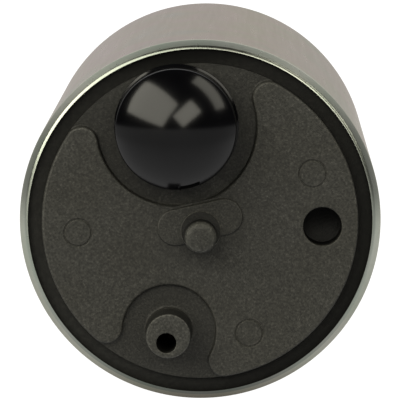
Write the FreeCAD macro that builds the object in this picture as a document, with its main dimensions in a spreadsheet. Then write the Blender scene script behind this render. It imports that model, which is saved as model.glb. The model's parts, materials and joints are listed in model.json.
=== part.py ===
import FreeCAD, Part
import math
import os
import re
import Sketcher

# In-tank fuel pump, lying with its axis along Y and its inlet end towards -Y.
# Lengths are in millimetres, angles in degrees seen from the inlet end.
# Stations along the pump are measured from the rim at the inlet end of the case.

SIZES = {
    # Case, a drawn steel tube with a thinner skirt at each end
    "case_length": 65.0,
    "case_radius": 19.0,
    "case_wall": 1.4,
    "skirt_wall": 0.75,
    "outlet_skirt_depth": 9.0,
    "roll_height": 1.2,
    "lip_inset": 0.9,
    "lip_face": 0.2,
    "lip_depth": 0.25,
    "crimp_inset": 1.8,
    "crimp_roll": 1.2,
    "fit_gap": 0.05,
    "sunk_root": 0.5,
    "cut_over": 1.0,
    # Inlet cover, a die casting whose face stands out of the rim
    "ring_space": 1.6,
    "face_stand": 1.0,
    "face_edge": 0.2,
    "shoulder_station": 1.6,
    "cover_depth": 6.0,
    "nipple_margin": 0.75,
    "inlet_angle": 103.7,
    "inlet_recess_radius": 8.4,
    "inlet_recess_depth": 0.85,
    "lobe_radius": 1.7,
    "nipple_radius": 5.5,
    "nipple_bore": 4.0,
    "nipple_height": 5.25,
    "nipple_chamfer": 1.1,
    "pad_half_spacing": 2.62,
    "pad_radius": 1.9,
    "pad_tilt": 12.6,
    "pad_height": 0.35,
    "pin_x": 0.1,
    "pin_z": -1.34,
    "pin_radius": 1.7,
    "pin_height": 3.2,
    "pin_foot": 0.4,
    "pin_crown": 0.8,
    "locating_radius": 2.03,
    "locating_depth": 3.6,
    "locating_angle": -2.1,
    "drill_tip": 1.2,
    "vent_inset": 4.58,
    "vent_angle": 254.3,
    "vent_recess_radius": 4.9,
    "vent_recess_depth": 0.7,
    "spout_radius": 2.42,
    "spout_height": 4.5,
    "spout_draft": 1.3,
    "vent_bore": 1.05,
    "vent_bore_shift": 0.75,
    "mark_inset": 3.75,
    "mark_radius": 1.5,
    "mark_depth": 0.15,
    "mark_one_angle": 23.2,
    "mark_two_angle": 185.2,
    "mark_three_angle": 293.8,
    # Rubber ring between the cover's face and the rim
    "ring_recess": 0.5,
    "ring_crown": 0.2,
    # Dust cap on the inlet nipple
    "cap_wall": 0.75,
    "cap_gap": 0.06,
    "cap_height": 7.9,
    "dome_radius": 8.0,
    "cap_rim_height": 0.8,
    "cap_rim_stand": 0.2,
    "cap_edge": 0.6,
    "cap_foot_gap": 0.1,
    "cap_notch_angle": 284.0,
    "cap_notch_radius": 5.85,
    "cap_notch_width": 2.0,
    "cap_notch_station": 3.75,
    # Pumping stage
    "channel_inset": 2.3,
    "channel_half_width": 1.6,
    "channel_depth": 1.0,
    "channel_sweep": 300.0,
    "chamber_wall": 3.08,
    "impeller_thickness": 3.8,
    "impeller_side_gap": 0.05,
    "impeller_rim_gap": 0.12,
    "vane_count": 37,
    "vane_width": 1.1,
    "vane_reach": 1.25,
    "balance_hole_radius": 1.0,
    "balance_hole_circle": 6.4,
    "balance_hole_count": 4,
    "button_radius": 2.6,
    "button_thickness": 1.2,
    "button_station": 3.4,
    "body_hub_radius": 6.4,
    "body_hub_height": 2.0,
    "body_thickness": 4.1,
    "port_setback": 6.0,
    "bush_radius": 4.0,
    "bush_setback": 0.6,
    # Rotor
    "shaft_radius": 2.0,
    "shaft_gap": 0.03,
    "shaft_flat": 1.5,
    "shaft_end_gap": 0.1,
    "shaft_stand": 0.6,
    "shaft_well_depth": 1.2,
    "shaft_well_gap": 0.4,
    "shaft_tip": 0.4,
    "washer_radius": 3.6,
    "washer_thickness": 0.8,
    "air_gap": 0.5,
    "core_room": 4.0,
    "brush_room": 14.0,
    "slot_count": 8,
    "slot_mouth": 1.6,
    "slot_inner_radius": 5.5,
    "tooth_tip": 1.2,
    "slot_inner_width": 2.0,
    "slot_outer_width": 5.8,
    "insulator_thickness": 0.8,
    "insulator_step": 0.3,
    "winding_overhang": 2.6,
    "winding_gap": 0.25,
    "commutator_radius": 9.6,
    "commutator_base_thickness": 1.7,
    "segment_thickness": 1.5,
    "segment_inner_radius": 3.8,
    "segment_gap": 0.6,
    "segment_stand": 0.4,
    # Field magnets and their clips
    "magnet_thickness": 5.25,
    "magnet_overhang": 2.0,
    "magnet_half_angle": 65.0,
    "clip_thickness": 0.6,
    "clip_leg": 4.0,
    "clip_inset": 2.0,
    # Brushes
    "brush_offset": 7.0,
    "brush_width": 4.4,
    "brush_height": 5.0,
    "brush_length": 9.0,
    "brush_gap": 0.06,
    "brush_contact_gap": 0.04,
    "guide_wall": 1.0,
    "brush_spring_radius": 1.6,
    "brush_spring_length": 5.6,
    "brush_spring_turns": 6.5,
    "spring_wire": 0.25,
    "pigtail_radius": 0.45,
    "pigtail_stand": 1.4,
    "pigtail_slot_width": 1.8,
    "pigtail_slot_height": 3.0,
    "lead_gap": 0.3,
    # Outlet cover, a black moulding held by the crimp
    "hub_reach": 5.3,
    "hub_radius": 5.2,
    "rear_bush_length": 5.2,
    "flange_depth": 7.3,
    "neck_gap": 0.3,
    "neck_height": 5.0,
    "neck_edge": 1.0,
    "seal_setback": 4.0,
    "seal_section": 0.83,
    "seal_groove_half_width": 1.1,
    "seal_groove_depth": 1.7,
    "outlet_margin": 1.4,
    "outlet_boss_radius": 6.0,
    "outlet_boss_height": 3.0,
    "outlet_radius": 3.75,
    "outlet_bore": 2.4,
    "outlet_length": 18.0,
    "barb_radius": 4.3,
    "barb_count": 3,
    "barb_pitch": 4.6,
    "barb_ramp": 2.6,
    "barb_land": 0.8,
    "barb_step": 0.35,
    "valve_radius": 3.4,
    "valve_seat_length": 3.0,
    "valve_seat_bore": 1.8,
    "valve_seat_chamfer": 0.8,
    "valve_cone_length": 1.4,
    "valve_cone_step": 0.6,
    "valve_stem_radius": 1.2,
    "valve_head_radius": 2.7,
    "valve_head_length": 2.2,
    "valve_stem_length": 3.4,
    "valve_spring_radius": 2.55,
    "valve_spring_turns": 6.5,
    "relief_angle": 42.3,
    "relief_margin": 1.98,
    "relief_radius": 2.35,
    "relief_hole": 1.2,
    "relief_seat_depth": 3.0,
    "relief_ball_radius": 1.75,
    "relief_spring_radius": 1.45,
    "relief_spring_turns": 5.5,
    "relief_plug_length": 2.6,
    "relief_plug_bore": 0.9,
    # Electrical parts
    "socket_margin": 2.9,
    "socket_width": 14.0,
    "socket_height": 9.0,
    "socket_wall": 1.3,
    "socket_depth": 10.0,
    "socket_floor": 1.0,
    "socket_corner": 1.6,
    "latch_width": 4.0,
    "latch_stand": 1.1,
    "latch_setback": 3.0,
    "latch_length": 2.0,
    "rib_offset": 5.2,
    "rib_width": 1.0,
    "rib_length": 9.0,
    "rib_height": 1.2,
    "relief_collar_wall": 0.9,
    "relief_collar_height": 0.8,
    "blade_offset": 3.65,
    "blade_width": 2.8,
    "blade_thickness": 0.8,
    "blade_tip_below_rim": 1.5,
    "blade_stand": 0.8,
    "choke_x": 9.6,
    "choke_margin": 1.2,
    "choke_core_radius": 1.3,
    "choke_coil_radius": 2.2,
    "choke_end": 1.0,
    "choke_coil_length": 8.0,
    "choke_stand": 1.8,
    "choke_gap": 0.2,
    "choke_lead_width": 0.8,
    "choke_lead_stand": 0.7,
    "choke_lead_thickness": 0.6,
}

# Sizes that follow from the ones above, so that neighbouring pieces stay together
FOLLOWING = {
    "flange_radius": "case_radius-skirt_wall-fit_gap",
    "lip_radius": "case_radius-lip_inset",
    "crimp_radius": "case_radius-crimp_inset",
    "neck_radius": "crimp_radius-neck_gap",
    "groove_radius": "flange_radius-seal_groove_depth",
    "outlet_step": "case_length-outlet_skirt_depth",
    "face_radius": "flange_radius-ring_space",
    "inlet_offset": "face_radius-nipple_radius-nipple_margin",
    "vent_offset": "face_radius-vent_inset",
    "mark_circle": "face_radius-mark_inset",
    "chamber_radius": "flange_radius-chamber_wall",
    "impeller_radius": "chamber_radius-impeller_rim_gap",
    "channel_radius": "impeller_radius-channel_inset",
    "impeller_back": "cover_depth+impeller_thickness+2*impeller_side_gap",
    "inlet_skirt_depth": "impeller_back+body_thickness",
    "hub_top": "inlet_skirt_depth+body_hub_height",
    "core_station": "hub_top+core_room",
    "core_length": "outlet_step-brush_room-core_station",
    "magnet_inner_radius": "case_radius-case_wall-fit_gap-magnet_thickness",
    "core_radius": "magnet_inner_radius-air_gap",
    "slot_outer_radius": "core_radius-tooth_tip",
    "magnet_station": "core_station-magnet_overhang",
    "magnet_length": "core_length+2*magnet_overhang",
    "hub_station": "outlet_step-hub_reach",
    "seal_station": "outlet_step+seal_setback",
    "pigtail_station": "outlet_step-pigtail_stand",
    "blade_inner_station": "outlet_step-blade_stand",
    "choke_station": "outlet_step-choke_stand",
    "choke_lead_station": "outlet_step-choke_lead_stand",
    "outlet_offset": "neck_radius-outlet_boss_radius-outlet_margin",
    "socket_offset": "neck_radius-socket_height/2-socket_margin",
    "relief_circle": "groove_radius-relief_radius-relief_margin",
    "relief_x": "relief_circle*cos(relief_angle)",
    "relief_z": "relief_circle*sin(relief_angle)",
    "choke_circle": "groove_radius-choke_coil_radius-choke_gap-choke_margin",
    "choke_z": "sqrt(choke_circle^2-choke_x^2)",
    "choke_core_length": "choke_coil_length+2*choke_end",
}

doc = FreeCAD.newDocument("FuelPump")
sheet = doc.addObject("Spreadsheet::Sheet", "Sizes")
cells = [(alias, str(number)) for alias, number in SIZES.items()]
cells += [(alias, "=" + formula) for alias, formula in FOLLOWING.items()]
for row, (alias, content) in enumerate(cells, start=1):
    sheet.set("A%d" % row, alias)
    sheet.set("B%d" % row, content)
    sheet.setAlias("B%d" % row, alias)
doc.recompute()

# Radii and stations that several pieces share
SKIRT_BORE = "(case_radius-skirt_wall)"
MOTOR_BORE = "(case_radius-case_wall)"
FACE = "(-face_stand)"
PAD_FACE = "(-face_stand-pad_height)"
INLET_FLOOR = "(inlet_recess_depth-face_stand)"
VENT_FLOOR = "(vent_recess_depth-face_stand)"
INLET_X = "(inlet_offset*cos(inlet_angle))"
INLET_Z = "(inlet_offset*sin(inlet_angle))"
NIPPLE_TIP = "(%s-nipple_height)" % INLET_FLOOR
CRIMP = "(outlet_step+flange_depth)"
CAP_FACE = "(case_length+neck_height)"
OUTLET_TIP = "(%s+outlet_boss_height+outlet_length)" % CAP_FACE
CORE_END = "(core_station+core_length)"
REAR_INSULATOR_END = "(%s+insulator_thickness)" % CORE_END
INSULATOR_RADIUS = "(core_radius-insulator_step)"
WINDING_END = "(%s+winding_overhang+winding_gap)" % REAR_INSULATOR_END
BASE_START = "(%s+winding_gap)" % WINDING_END
SEGMENT_START = "(%s+commutator_base_thickness)" % BASE_START
CONTACT_FACE = "(%s+segment_thickness)" % SEGMENT_START
BRUSH_START = "(%s+brush_contact_gap)" % CONTACT_FACE
BRUSH_END = "(%s+brush_length)" % BRUSH_START
GUIDE_END = "(%s+brush_spring_length+2*brush_gap)" % BRUSH_END
BORE_OF_SHAFT = "(shaft_radius+shaft_gap)"

parts = []


def bound(text):
    """Return an expression in which every size is read from the sheet."""
    def name(word):
        known = word[0] in SIZES or word[0] in FOLLOWING
        return "Sizes." + word[0] if known else word[0]
    return re.sub(r"[a-z][a-z_0-9]*", name, str(text))


def value(text):
    """Return the number that an expression gives now."""
    result = sheet.evalExpression(bound(text))
    return float(getattr(result, "Value", result))


def new_body(label):
    """Start a piece and set it on the pump's origin, at the middle of the case."""
    body = doc.addObject("PartDesign::Body", label)
    finish_part(body, label)
    return body


def finish_part(piece, label, turn=0.0, stand=("", "0", "")):
    """Name a piece and place it, turned about the pump's axis or moved to where it stands."""
    piece.Label = label
    about_axis = FreeCAD.Rotation(FreeCAD.Vector(0, 1, 0), turn)
    piece.Placement = FreeCAD.Placement(FreeCAD.Vector(0, 0, 0), about_axis)
    x, station, z = stand
    piece.setExpression("Placement.Base.y", bound("(%s)-case_length/2" % station))
    if x:
        piece.setExpression("Placement.Base.x", bound(x))
    if z:
        piece.setExpression("Placement.Base.z", bound(z))
    parts.append(piece)


def new_sketch(body, name, plane, x="", y="", z=""):
    """Add a sketch on one of the piece's own origin planes, shifted by the expressions."""
    sketch = body.newObject("Sketcher::SketchObject", name)
    support = [item for item in body.Origin.OriginFeatures if item.Role == plane][0]
    sketch.AttachmentSupport = [(support, "")]
    sketch.MapMode = "FlatFace"
    for axis, text in (("x", x), ("y", y), ("z", z)):
        if text:
            sketch.setExpression("AttachmentOffset.Base." + axis, bound(text))
    return sketch


def bind(sketch, constraint, text):
    """Add a constraint whose value follows the sheet."""
    index = sketch.addConstraint(constraint)
    if bound(text) != str(text):
        sketch.setExpression("Constraints[%d]" % index, bound(text))


def pin(sketch, side, end, x, y):
    """Hold one point of a sketch at its two distances from the sketch's origin."""
    bind(sketch, Sketcher.Constraint("DistanceX", -1, 1, side, end, value(x)), x)
    bind(sketch, Sketcher.Constraint("DistanceY", -1, 1, side, end, value(y)), y)


def arc_between(start, finish, radius, turn):
    """Return the short arc from start to finish that turns left (+1) or right (-1)."""
    chord = finish - start
    middle = (start + finish) * 0.5
    height = math.sqrt(max(radius ** 2 - (chord.Length / 2) ** 2, 0.0))
    normal = FreeCAD.Vector(-chord.y, chord.x, 0).normalize() * turn
    centre = middle + normal * height
    circle = Part.Circle(centre, FreeCAD.Vector(0, 0, 1), radius)
    first, last = (start, finish) if turn > 0 else (finish, start)
    return Part.ArcOfCircle(circle, circle.parameter(first), circle.parameter(last))


def draw_outline(sketch, corners):
    """Draw a closed outline: each corner is x and y, then radius and turn where an arc follows."""
    spots = [FreeCAD.Vector(value(corner[0]), value(corner[1]), 0) for corner in corners]
    sides = []
    for index, corner in enumerate(corners):
        start = spots[index]
        finish = spots[(index + 1) % len(corners)]
        if len(corner) == 2:
            side = sketch.addGeometry(Part.LineSegment(start, finish), False)
            sides.append((side, 1, 2))
        else:
            side = sketch.addGeometry(arc_between(start, finish, value(corner[2]), corner[3]), False)
            sides.append((side, 1, 2) if corner[3] > 0 else (side, 2, 1))
    for index, corner in enumerate(corners):
        side, first, last = sides[index]
        following = sides[(index + 1) % len(corners)]
        sketch.addConstraint(Sketcher.Constraint("Coincident", side, last, following[0], following[1]))
        pin(sketch, side, first, corner[0], corner[1])
        if len(corner) > 2:
            bind(sketch, Sketcher.Constraint("Radius", side, value(corner[2])), corner[2])


def draw_round(sketch, x, y, radius):
    """Draw a circle at its place."""
    centre = FreeCAD.Vector(value(x), value(y), 0)
    side = sketch.addGeometry(Part.Circle(centre, FreeCAD.Vector(0, 0, 1), value(radius)), False)
    pin(sketch, side, 3, x, y)
    bind(sketch, Sketcher.Constraint("Radius", side, value(radius)), radius)


def turned(body, name, corners, x="", z="", cut=False):
    """Turn an outline of radius and station about an axis parallel to the pump's."""
    sketch = new_sketch(body, name + "_profile", "XY_Plane", x=x, z=z)
    draw_outline(sketch, corners)
    feature = body.newObject("PartDesign::Groove" if cut else "PartDesign::Revolution", name)
    feature.Profile = sketch
    feature.ReferenceAxis = (sketch, ["V_Axis"])
    feature.Angle = 360.0
    return feature


def block(body, name, start, finish, corners=None, rounds=(), cut=False, draft=""):
    """Raise or cut an end-view outline, or rounds, from one station to another."""
    sketch = new_sketch(body, name + "_profile", "XZ_Plane", z="-(%s)" % start)
    if corners:
        draw_outline(sketch, corners)
    for x, z, radius in rounds:
        draw_round(sketch, x, z, radius)
    feature = body.newObject("PartDesign::Pocket" if cut else "PartDesign::Pad", name)
    feature.Profile = sketch
    feature.setExpression("Length", bound("abs((%s)-(%s))" % (finish, start)))
    feature.Reversed = (value(finish) > value(start)) != cut
    if draft:
        feature.setExpression("TaperAngle", bound(draft))
    return feature


def polar(body, name, originals, count):
    """Repeat features round the pump's axis."""
    pattern = body.newObject("PartDesign::PolarPattern", name)
    pattern.Originals = originals
    axis = [item for item in body.Origin.OriginFeatures if item.Role == "Y_Axis"][0]
    pattern.Axis = (axis, [""])
    pattern.Angle = 360.0
    pattern.setExpression("Occurrences", bound(count))
    body.Tip = pattern
    return pattern


def rounded(body, name, feature, radius, wanted, kind="Fillet"):
    """Fillet or chamfer the edges of a feature that wanted() picks by their middle point."""
    doc.recompute()
    edges = []
    for number, edge in enumerate(feature.Shape.Edges, start=1):
        if wanted(edge):
            edges.append("Edge%d" % number)
    dressing = body.newObject("PartDesign::" + kind, name)
    dressing.Base = (feature, edges)
    dressing.setExpression("Radius" if kind == "Fillet" else "Size", bound(radius))
    return dressing


def lies_at(edge, station):
    """Tell whether an edge lies wholly at one station."""
    box = edge.BoundBox
    return abs(box.YMin - station) < 0.01 and abs(box.YMax - station) < 0.01


def box_corners(x, z, width, height):
    """Return the four corners of an upright rectangle about a centre."""
    left = "(%s)-(%s)/2" % (x, width)
    right = "(%s)+(%s)/2" % (x, width)
    low = "(%s)-(%s)/2" % (z, height)
    high = "(%s)+(%s)/2" % (z, height)
    return [(left, low), (right, low), (right, high), (left, high)]


def rounded_box(x, z, width, height, corner):
    """Return a rectangle about a centre with its four corners rounded."""
    left, right = "(%s)-(%s)/2" % (x, width), "(%s)+(%s)/2" % (x, width)
    low, high = "(%s)-(%s)/2" % (z, height), "(%s)+(%s)/2" % (z, height)
    return [
        (left + "+" + corner, low),
        (right + "-" + corner, low, corner, 1),
        (right, low + "+" + corner),
        (right, high + "-" + corner, corner, 1),
        (right + "-" + corner, high),
        (left + "+" + corner, high, corner, 1),
        (left, high + "-" + corner),
        (left, low + "+" + corner, corner, 1),
    ]


def tube_corners(inner, outer, start, finish):
    """Return the half section of a plain sleeve."""
    return [(inner, start), (outer, start), (outer, finish), (inner, finish)]


def rod_corners(radius, start, finish):
    """Return the half section of a plain rod."""
    return [("0", start), (radius, start), (radius, finish), ("0", finish)]


def on_circle(radius, angle):
    """Return the two coordinates of a point on a circle about the axis."""
    return "(%s)*cos(%s)" % (radius, angle), "(%s)*sin(%s)" % (radius, angle)


def make_case():
    body = new_body("motor_case")
    rim_outer = "(lip_radius+lip_face)"
    turned(body, "case_tube", [
        ("lip_radius", "0"),
        (rim_outer, "0"),
        ("case_radius", "roll_height"),
        ("case_radius", "case_length-crimp_roll", "crimp_roll", 1),
        ("case_radius-crimp_roll", "case_length"),
        ("crimp_radius", "case_length"),
        ("crimp_radius", CRIMP + "+fit_gap"),
        (SKIRT_BORE, CRIMP + "+fit_gap"),
        (SKIRT_BORE, "outlet_step"),
        (MOTOR_BORE, "outlet_step"),
        (MOTOR_BORE, "inlet_skirt_depth"),
        (SKIRT_BORE, "inlet_skirt_depth"),
        (SKIRT_BORE, "lip_depth"),
        ("lip_radius", "lip_depth"),
    ])


def make_seal_ring():
    body = new_body("inlet_seal_ring")
    inner = "(face_radius+fit_gap)"
    width = "((flange_radius-%s)/2)" % inner
    crown = "((%s^2+ring_crown^2)/(2*ring_crown))" % width
    turned(body, "ring_section", [
        (inner, "ring_recess+ring_crown", crown, 1),
        ("flange_radius", "ring_recess+ring_crown"),
        ("flange_radius", "shoulder_station"),
        (inner, "shoulder_station"),
    ])


def open_recess(body, name, offset, angle, radius, floor):
    """Sink a round recess that runs out over the face's edge between two rounded lobes."""
    centre_x, centre_z = on_circle(offset, angle)
    reach = "(face_radius-lobe_radius)"
    spread = "acos((%s^2+%s^2-(%s+lobe_radius)^2)/(2*%s*%s))/1deg" % (offset, reach, radius, offset, reach)
    share = "(%s/(%s+lobe_radius))" % (radius, radius)
    ends = []
    for sign in ("+", "-"):
        side_angle = "(%s%s%s)" % (angle, sign, spread)
        lobe_x, lobe_z = on_circle(reach, side_angle)
        touch_x = "(%s)+((%s)-(%s))*%s" % (centre_x, lobe_x, centre_x, share)
        touch_z = "(%s)+((%s)-(%s))*%s" % (centre_z, lobe_z, centre_z, share)
        ends.append((side_angle, touch_x, touch_z))
    (far_angle, far_x, far_z), (near_angle, near_x, near_z) = ends
    deepest = on_circle("(%s-%s)" % (offset, radius), angle)
    outside = "(face_radius+face_stand)"
    near_rim = on_circle("face_radius", near_angle)
    far_rim = on_circle("face_radius", far_angle)
    block(body, name, PAD_FACE + "-cut_over", floor, [
        (far_x, far_z, radius, 1),
        (deepest[0], deepest[1], radius, 1),
        (near_x, near_z, "lobe_radius", -1),
        near_rim,
        on_circle(outside, near_angle) + (outside, 1),
        on_circle(outside, far_angle),
        far_rim + ("lobe_radius", -1),
    ], cut=True)


def make_inlet_cover():
    body = new_body("inlet_cover")
    turned(body, "cover_disc", [
        ("0", FACE),
        ("face_radius-face_edge", FACE),
        ("face_radius", FACE + "+face_edge"),
        ("face_radius", "shoulder_station"),
        ("flange_radius", "shoulder_station"),
        ("flange_radius", "cover_depth"),
        ("button_radius", "cover_depth"),
        ("button_radius", "button_station"),
        ("0", "button_station"),
    ])
    corners = []
    for side, start in (("+", -1), ("-", 1)):
        middle_x = "(" + side + "pad_half_spacing*cos(pad_tilt))"
        middle_z = "(" + side + "pad_half_spacing*sin(pad_tilt))"
        rise_x = "(pad_radius*sin(pad_tilt))"
        rise_z = "(pad_radius*cos(pad_tilt))"
        low, high = ("+", "-") if start < 0 else ("-", "+")
        corners += [
            (middle_x + low + rise_x, middle_z + high + rise_z, "pad_radius", 1),
            (middle_x + side + "pad_radius*cos(pad_tilt)", middle_z + side + "pad_radius*sin(pad_tilt)",
             "pad_radius", 1),
            (middle_x + high + rise_x, middle_z + low + rise_z),
        ]
    block(body, "centre_pad", FACE, PAD_FACE, corners)
    open_recess(body, "inlet_recess", "inlet_offset", "inlet_angle", "inlet_recess_radius", INLET_FLOOR)
    open_recess(body, "vent_recess", "vent_offset", "vent_angle", "vent_recess_radius", VENT_FLOOR)
    turned(body, "retainer_pin", [
        ("0", FACE + "+sunk_root"),
        ("pin_radius+pin_foot", FACE + "+sunk_root"),
        ("pin_radius+pin_foot", PAD_FACE, "pin_foot", 1),
        ("pin_radius", PAD_FACE + "-pin_foot"),
        ("pin_radius", FACE + "-pin_height+pin_crown", "pin_crown", -1),
        ("pin_radius-pin_crown", FACE + "-pin_height"),
        ("0", FACE + "-pin_height"),
    ], x="pin_x", z="pin_z")
    turned(body, "inlet_nipple", [
        ("0", "sunk_root"),
        ("nipple_radius", "sunk_root"),
        ("nipple_radius", NIPPLE_TIP + "+nipple_chamfer"),
        ("nipple_radius-nipple_chamfer", NIPPLE_TIP),
        ("0", NIPPLE_TIP),
    ], x=INLET_X, z=INLET_Z)
    spout_x, spout_z = on_circle("vent_offset", "vent_angle")
    bore_x, bore_z = on_circle("vent_offset+vent_bore_shift", "vent_angle")
    block(body, "vent_spout", VENT_FLOOR, VENT_FLOOR + "-spout_height",
          rounds=[(spout_x, spout_z, "spout_radius")], draft="-spout_draft")
    block(body, "inlet_bore", NIPPLE_TIP + "-cut_over", "cover_depth+cut_over",
          rounds=[(INLET_X, INLET_Z, "nipple_bore")], cut=True)
    block(body, "vent_bore", VENT_FLOOR + "-spout_height-cut_over", "cover_depth+cut_over",
          rounds=[(bore_x, bore_z, "vent_bore")], cut=True)
    hole_x, hole_z = on_circle("mark_circle", "locating_angle")
    turned(body, "locating_hole", [
        ("0", FACE + "-cut_over"),
        ("locating_radius", FACE + "-cut_over"),
        ("locating_radius", FACE + "+locating_depth"),
        ("0", FACE + "+locating_depth+drill_tip"),
    ], x=hole_x, z=hole_z, cut=True)
    marks = [on_circle("mark_circle", angle) + ("mark_radius",)
             for angle in ("mark_one_angle", "mark_two_angle", "mark_three_angle")]
    block(body, "ejector_marks", FACE + "-cut_over", FACE + "+mark_depth", rounds=marks, cut=True)
    side_channel(body, "cover_channel", "cover_depth", 1)


def side_channel(body, name, face, direction):
    """Cut the half-round flow channel that runs round most of a face."""
    sketch = new_sketch(body, name + "_profile", "XY_Plane")
    middle = "(channel_sweep/2+inlet_angle)"
    turn = FreeCAD.Rotation(FreeCAD.Vector(0, 1, 0), -value(middle))
    sketch.AttachmentOffset = FreeCAD.Placement(FreeCAD.Vector(0, 0, 0), turn)
    sketch.setExpression("AttachmentOffset.Rotation.Angle", bound("-" + middle))
    arc = "(channel_half_width^2+channel_depth^2)/(2*channel_depth)"
    low = "(channel_radius-channel_half_width)"
    high = "(channel_radius+channel_half_width)"
    deep = "((%s)-channel_depth*(%d))" % (face, direction)
    out = "((%s)+sunk_root*(%d))" % (face, direction)
    draw_outline(sketch, [
        (high, out),
        (low, out),
        (low, face, arc, direction),
        ("channel_radius", deep, arc, direction),
        (high, face),
    ])
    groove = body.newObject("PartDesign::Groove", name)
    groove.Profile = sketch
    groove.ReferenceAxis = (sketch, ["V_Axis"])
    groove.Midplane = True
    groove.setExpression("Angle", bound("channel_sweep"))
    return groove


def make_inlet_cap():
    body = new_body("inlet_dust_cap")
    inner = "(nipple_radius+cap_gap)"
    outer = "(nipple_radius+cap_gap+cap_wall)"
    foot = "(%s-cap_foot_gap)" % INLET_FLOOR
    top = "(%s-cap_height)" % INLET_FLOOR
    ball = "(%s+dome_radius)" % top
    skin = "(dome_radius-cap_wall)"
    shell = turned(body, "cap_shell", [
        (inner, foot),
        (outer + "+cap_rim_stand", foot),
        (outer + "+cap_rim_stand", foot + "-cap_rim_height"),
        (outer, foot + "-cap_rim_height-cap_rim_stand"),
        (outer, "%s-sqrt(dome_radius^2-%s^2)" % (ball, outer), "dome_radius", -1),
        ("0", top),
        ("0", top + "+cap_wall", skin, 1),
        (inner, "%s-sqrt(%s^2-%s^2)" % (ball, skin, inner)),
    ], x=INLET_X, z=INLET_Z)
    station = value("%s-sqrt(dome_radius^2-%s^2)" % (ball, outer))
    rounded(body, "cap_edge", shell, "cap_edge", lambda edge: lies_at(edge, station))
    across = "(cap_notch_width/2)"
    corners = []
    for reach, half in (("cap_notch_radius", "-"), (outer + "+cut_over", "-"),
                        (outer + "+cut_over", "+"), ("cap_notch_radius", "+")):
        along = on_circle(reach, "cap_notch_angle")
        x = INLET_X + "+" + along[0] + "-(" + half + across + ")*sin(cap_notch_angle)"
        z = INLET_Z + "+" + along[1] + "+(" + half + across + ")*cos(cap_notch_angle)"
        corners.append((x, z))
    block(body, "cap_notch", top + "-cut_over", top + "+cap_notch_station", corners, cut=True)


def make_thrust_button():
    body = new_body("thrust_button")
    turned(body, "button_disc", rod_corners("button_radius-fit_gap", "button_station",
                                            "button_station+button_thickness"))


def make_impeller():
    body = new_body("impeller")
    front = "(cover_depth+impeller_side_gap)"
    back = "(%s+impeller_thickness)" % front
    turned(body, "impeller_disc", rod_corners("impeller_radius", front, back))
    vane = block(body, "vane_slot", front + "-cut_over", back + "+cut_over", box_corners(
        "channel_radius", "0", "2*vane_reach", "vane_width"), cut=True)
    polar(body, "vane_slots", [vane], "vane_count")
    hole = block(body, "balance_hole", front + "-cut_over", back + "+cut_over",
                 rounds=[("balance_hole_circle", "0", "balance_hole_radius")], cut=True)
    polar(body, "balance_holes", [hole], "balance_hole_count")
    flat = "(shaft_flat+shaft_gap)"
    half = "sqrt(%s^2-%s^2)" % (BORE_OF_SHAFT, flat)
    block(body, "drive_hole", front + "-cut_over", back + "+cut_over", [
        ("-" + half, flat, BORE_OF_SHAFT, 1),
        ("-" + BORE_OF_SHAFT, "0", BORE_OF_SHAFT, 1),
        ("0", "-" + BORE_OF_SHAFT, BORE_OF_SHAFT, 1),
        (BORE_OF_SHAFT, "0", BORE_OF_SHAFT, 1),
        (half, flat),
    ], cut=True)


def make_pump_body():
    body = new_body("pump_body")
    turned(body, "body_disc", [
        ("bush_radius+fit_gap", "impeller_back"),
        ("chamber_radius", "impeller_back"),
        ("chamber_radius", "cover_depth"),
        ("flange_radius", "cover_depth"),
        ("flange_radius", "inlet_skirt_depth"),
        ("body_hub_radius", "inlet_skirt_depth"),
        ("body_hub_radius", "hub_top"),
        ("bush_radius+fit_gap", "hub_top"),
    ])
    side_channel(body, "body_channel", "impeller_back", -1)
    port_x, port_z = on_circle("channel_radius", "(inlet_angle+channel_sweep-port_setback)")
    block(body, "outlet_port", "impeller_back-cut_over", "inlet_skirt_depth+cut_over",
          rounds=[(port_x, port_z, "channel_half_width")], cut=True)


def make_bushes():
    front = new_body("front_bush")
    turned(front, "front_bush_sleeve", tube_corners(BORE_OF_SHAFT, "bush_radius",
                                                    "impeller_back+bush_setback", "hub_top"))
    rear = new_body("rear_bush")
    turned(rear, "rear_bush_sleeve", tube_corners(BORE_OF_SHAFT, "bush_radius", "hub_station",
                                                  "hub_station+rear_bush_length"))


def make_shaft():
    body = new_body("rotor_shaft")
    start = "(button_station+button_thickness+shaft_end_gap)"
    finish = "(hub_station+rear_bush_length+shaft_stand)"
    turned(body, "shaft_rod", [
        ("0", start),
        ("shaft_radius-shaft_tip", start),
        ("shaft_radius", start + "+shaft_tip"),
        ("shaft_radius", finish + "-shaft_tip"),
        ("shaft_radius-shaft_tip", finish),
        ("0", finish),
    ])
    block(body, "drive_flat", start + "-cut_over", "impeller_back",
          box_corners("0", "shaft_flat+cut_over/2", "2*shaft_radius+cut_over", "cut_over"), cut=True)


def make_thrust_washer():
    body = new_body("thrust_washer")
    start = "(hub_top+fit_gap)"
    turned(body, "washer_disc", tube_corners(BORE_OF_SHAFT, "washer_radius", start,
                                             start + "+washer_thickness"))


def slot_corners(inset, outer):
    """Return the outline of one winding slot, drawn in by an inset and open out to a radius."""
    inner_radius = "slot_inner_radius+(%s)" % inset
    outer_radius = "slot_outer_radius-(%s)" % inset
    inner_half = "slot_inner_width/2-(%s)" % inset
    outer_half = "slot_outer_width/2-(%s)" % inset
    corners = [(inner_radius, "-(%s)" % inner_half), (outer_radius, "-(%s)" % outer_half)]
    if outer:
        corners += [("slot_outer_radius", "-slot_mouth/2"), (outer, "-slot_mouth/2"),
                    (outer, "slot_mouth/2"), ("slot_outer_radius", "slot_mouth/2")]
    return corners + [(outer_radius, outer_half), (inner_radius, inner_half)]


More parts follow.
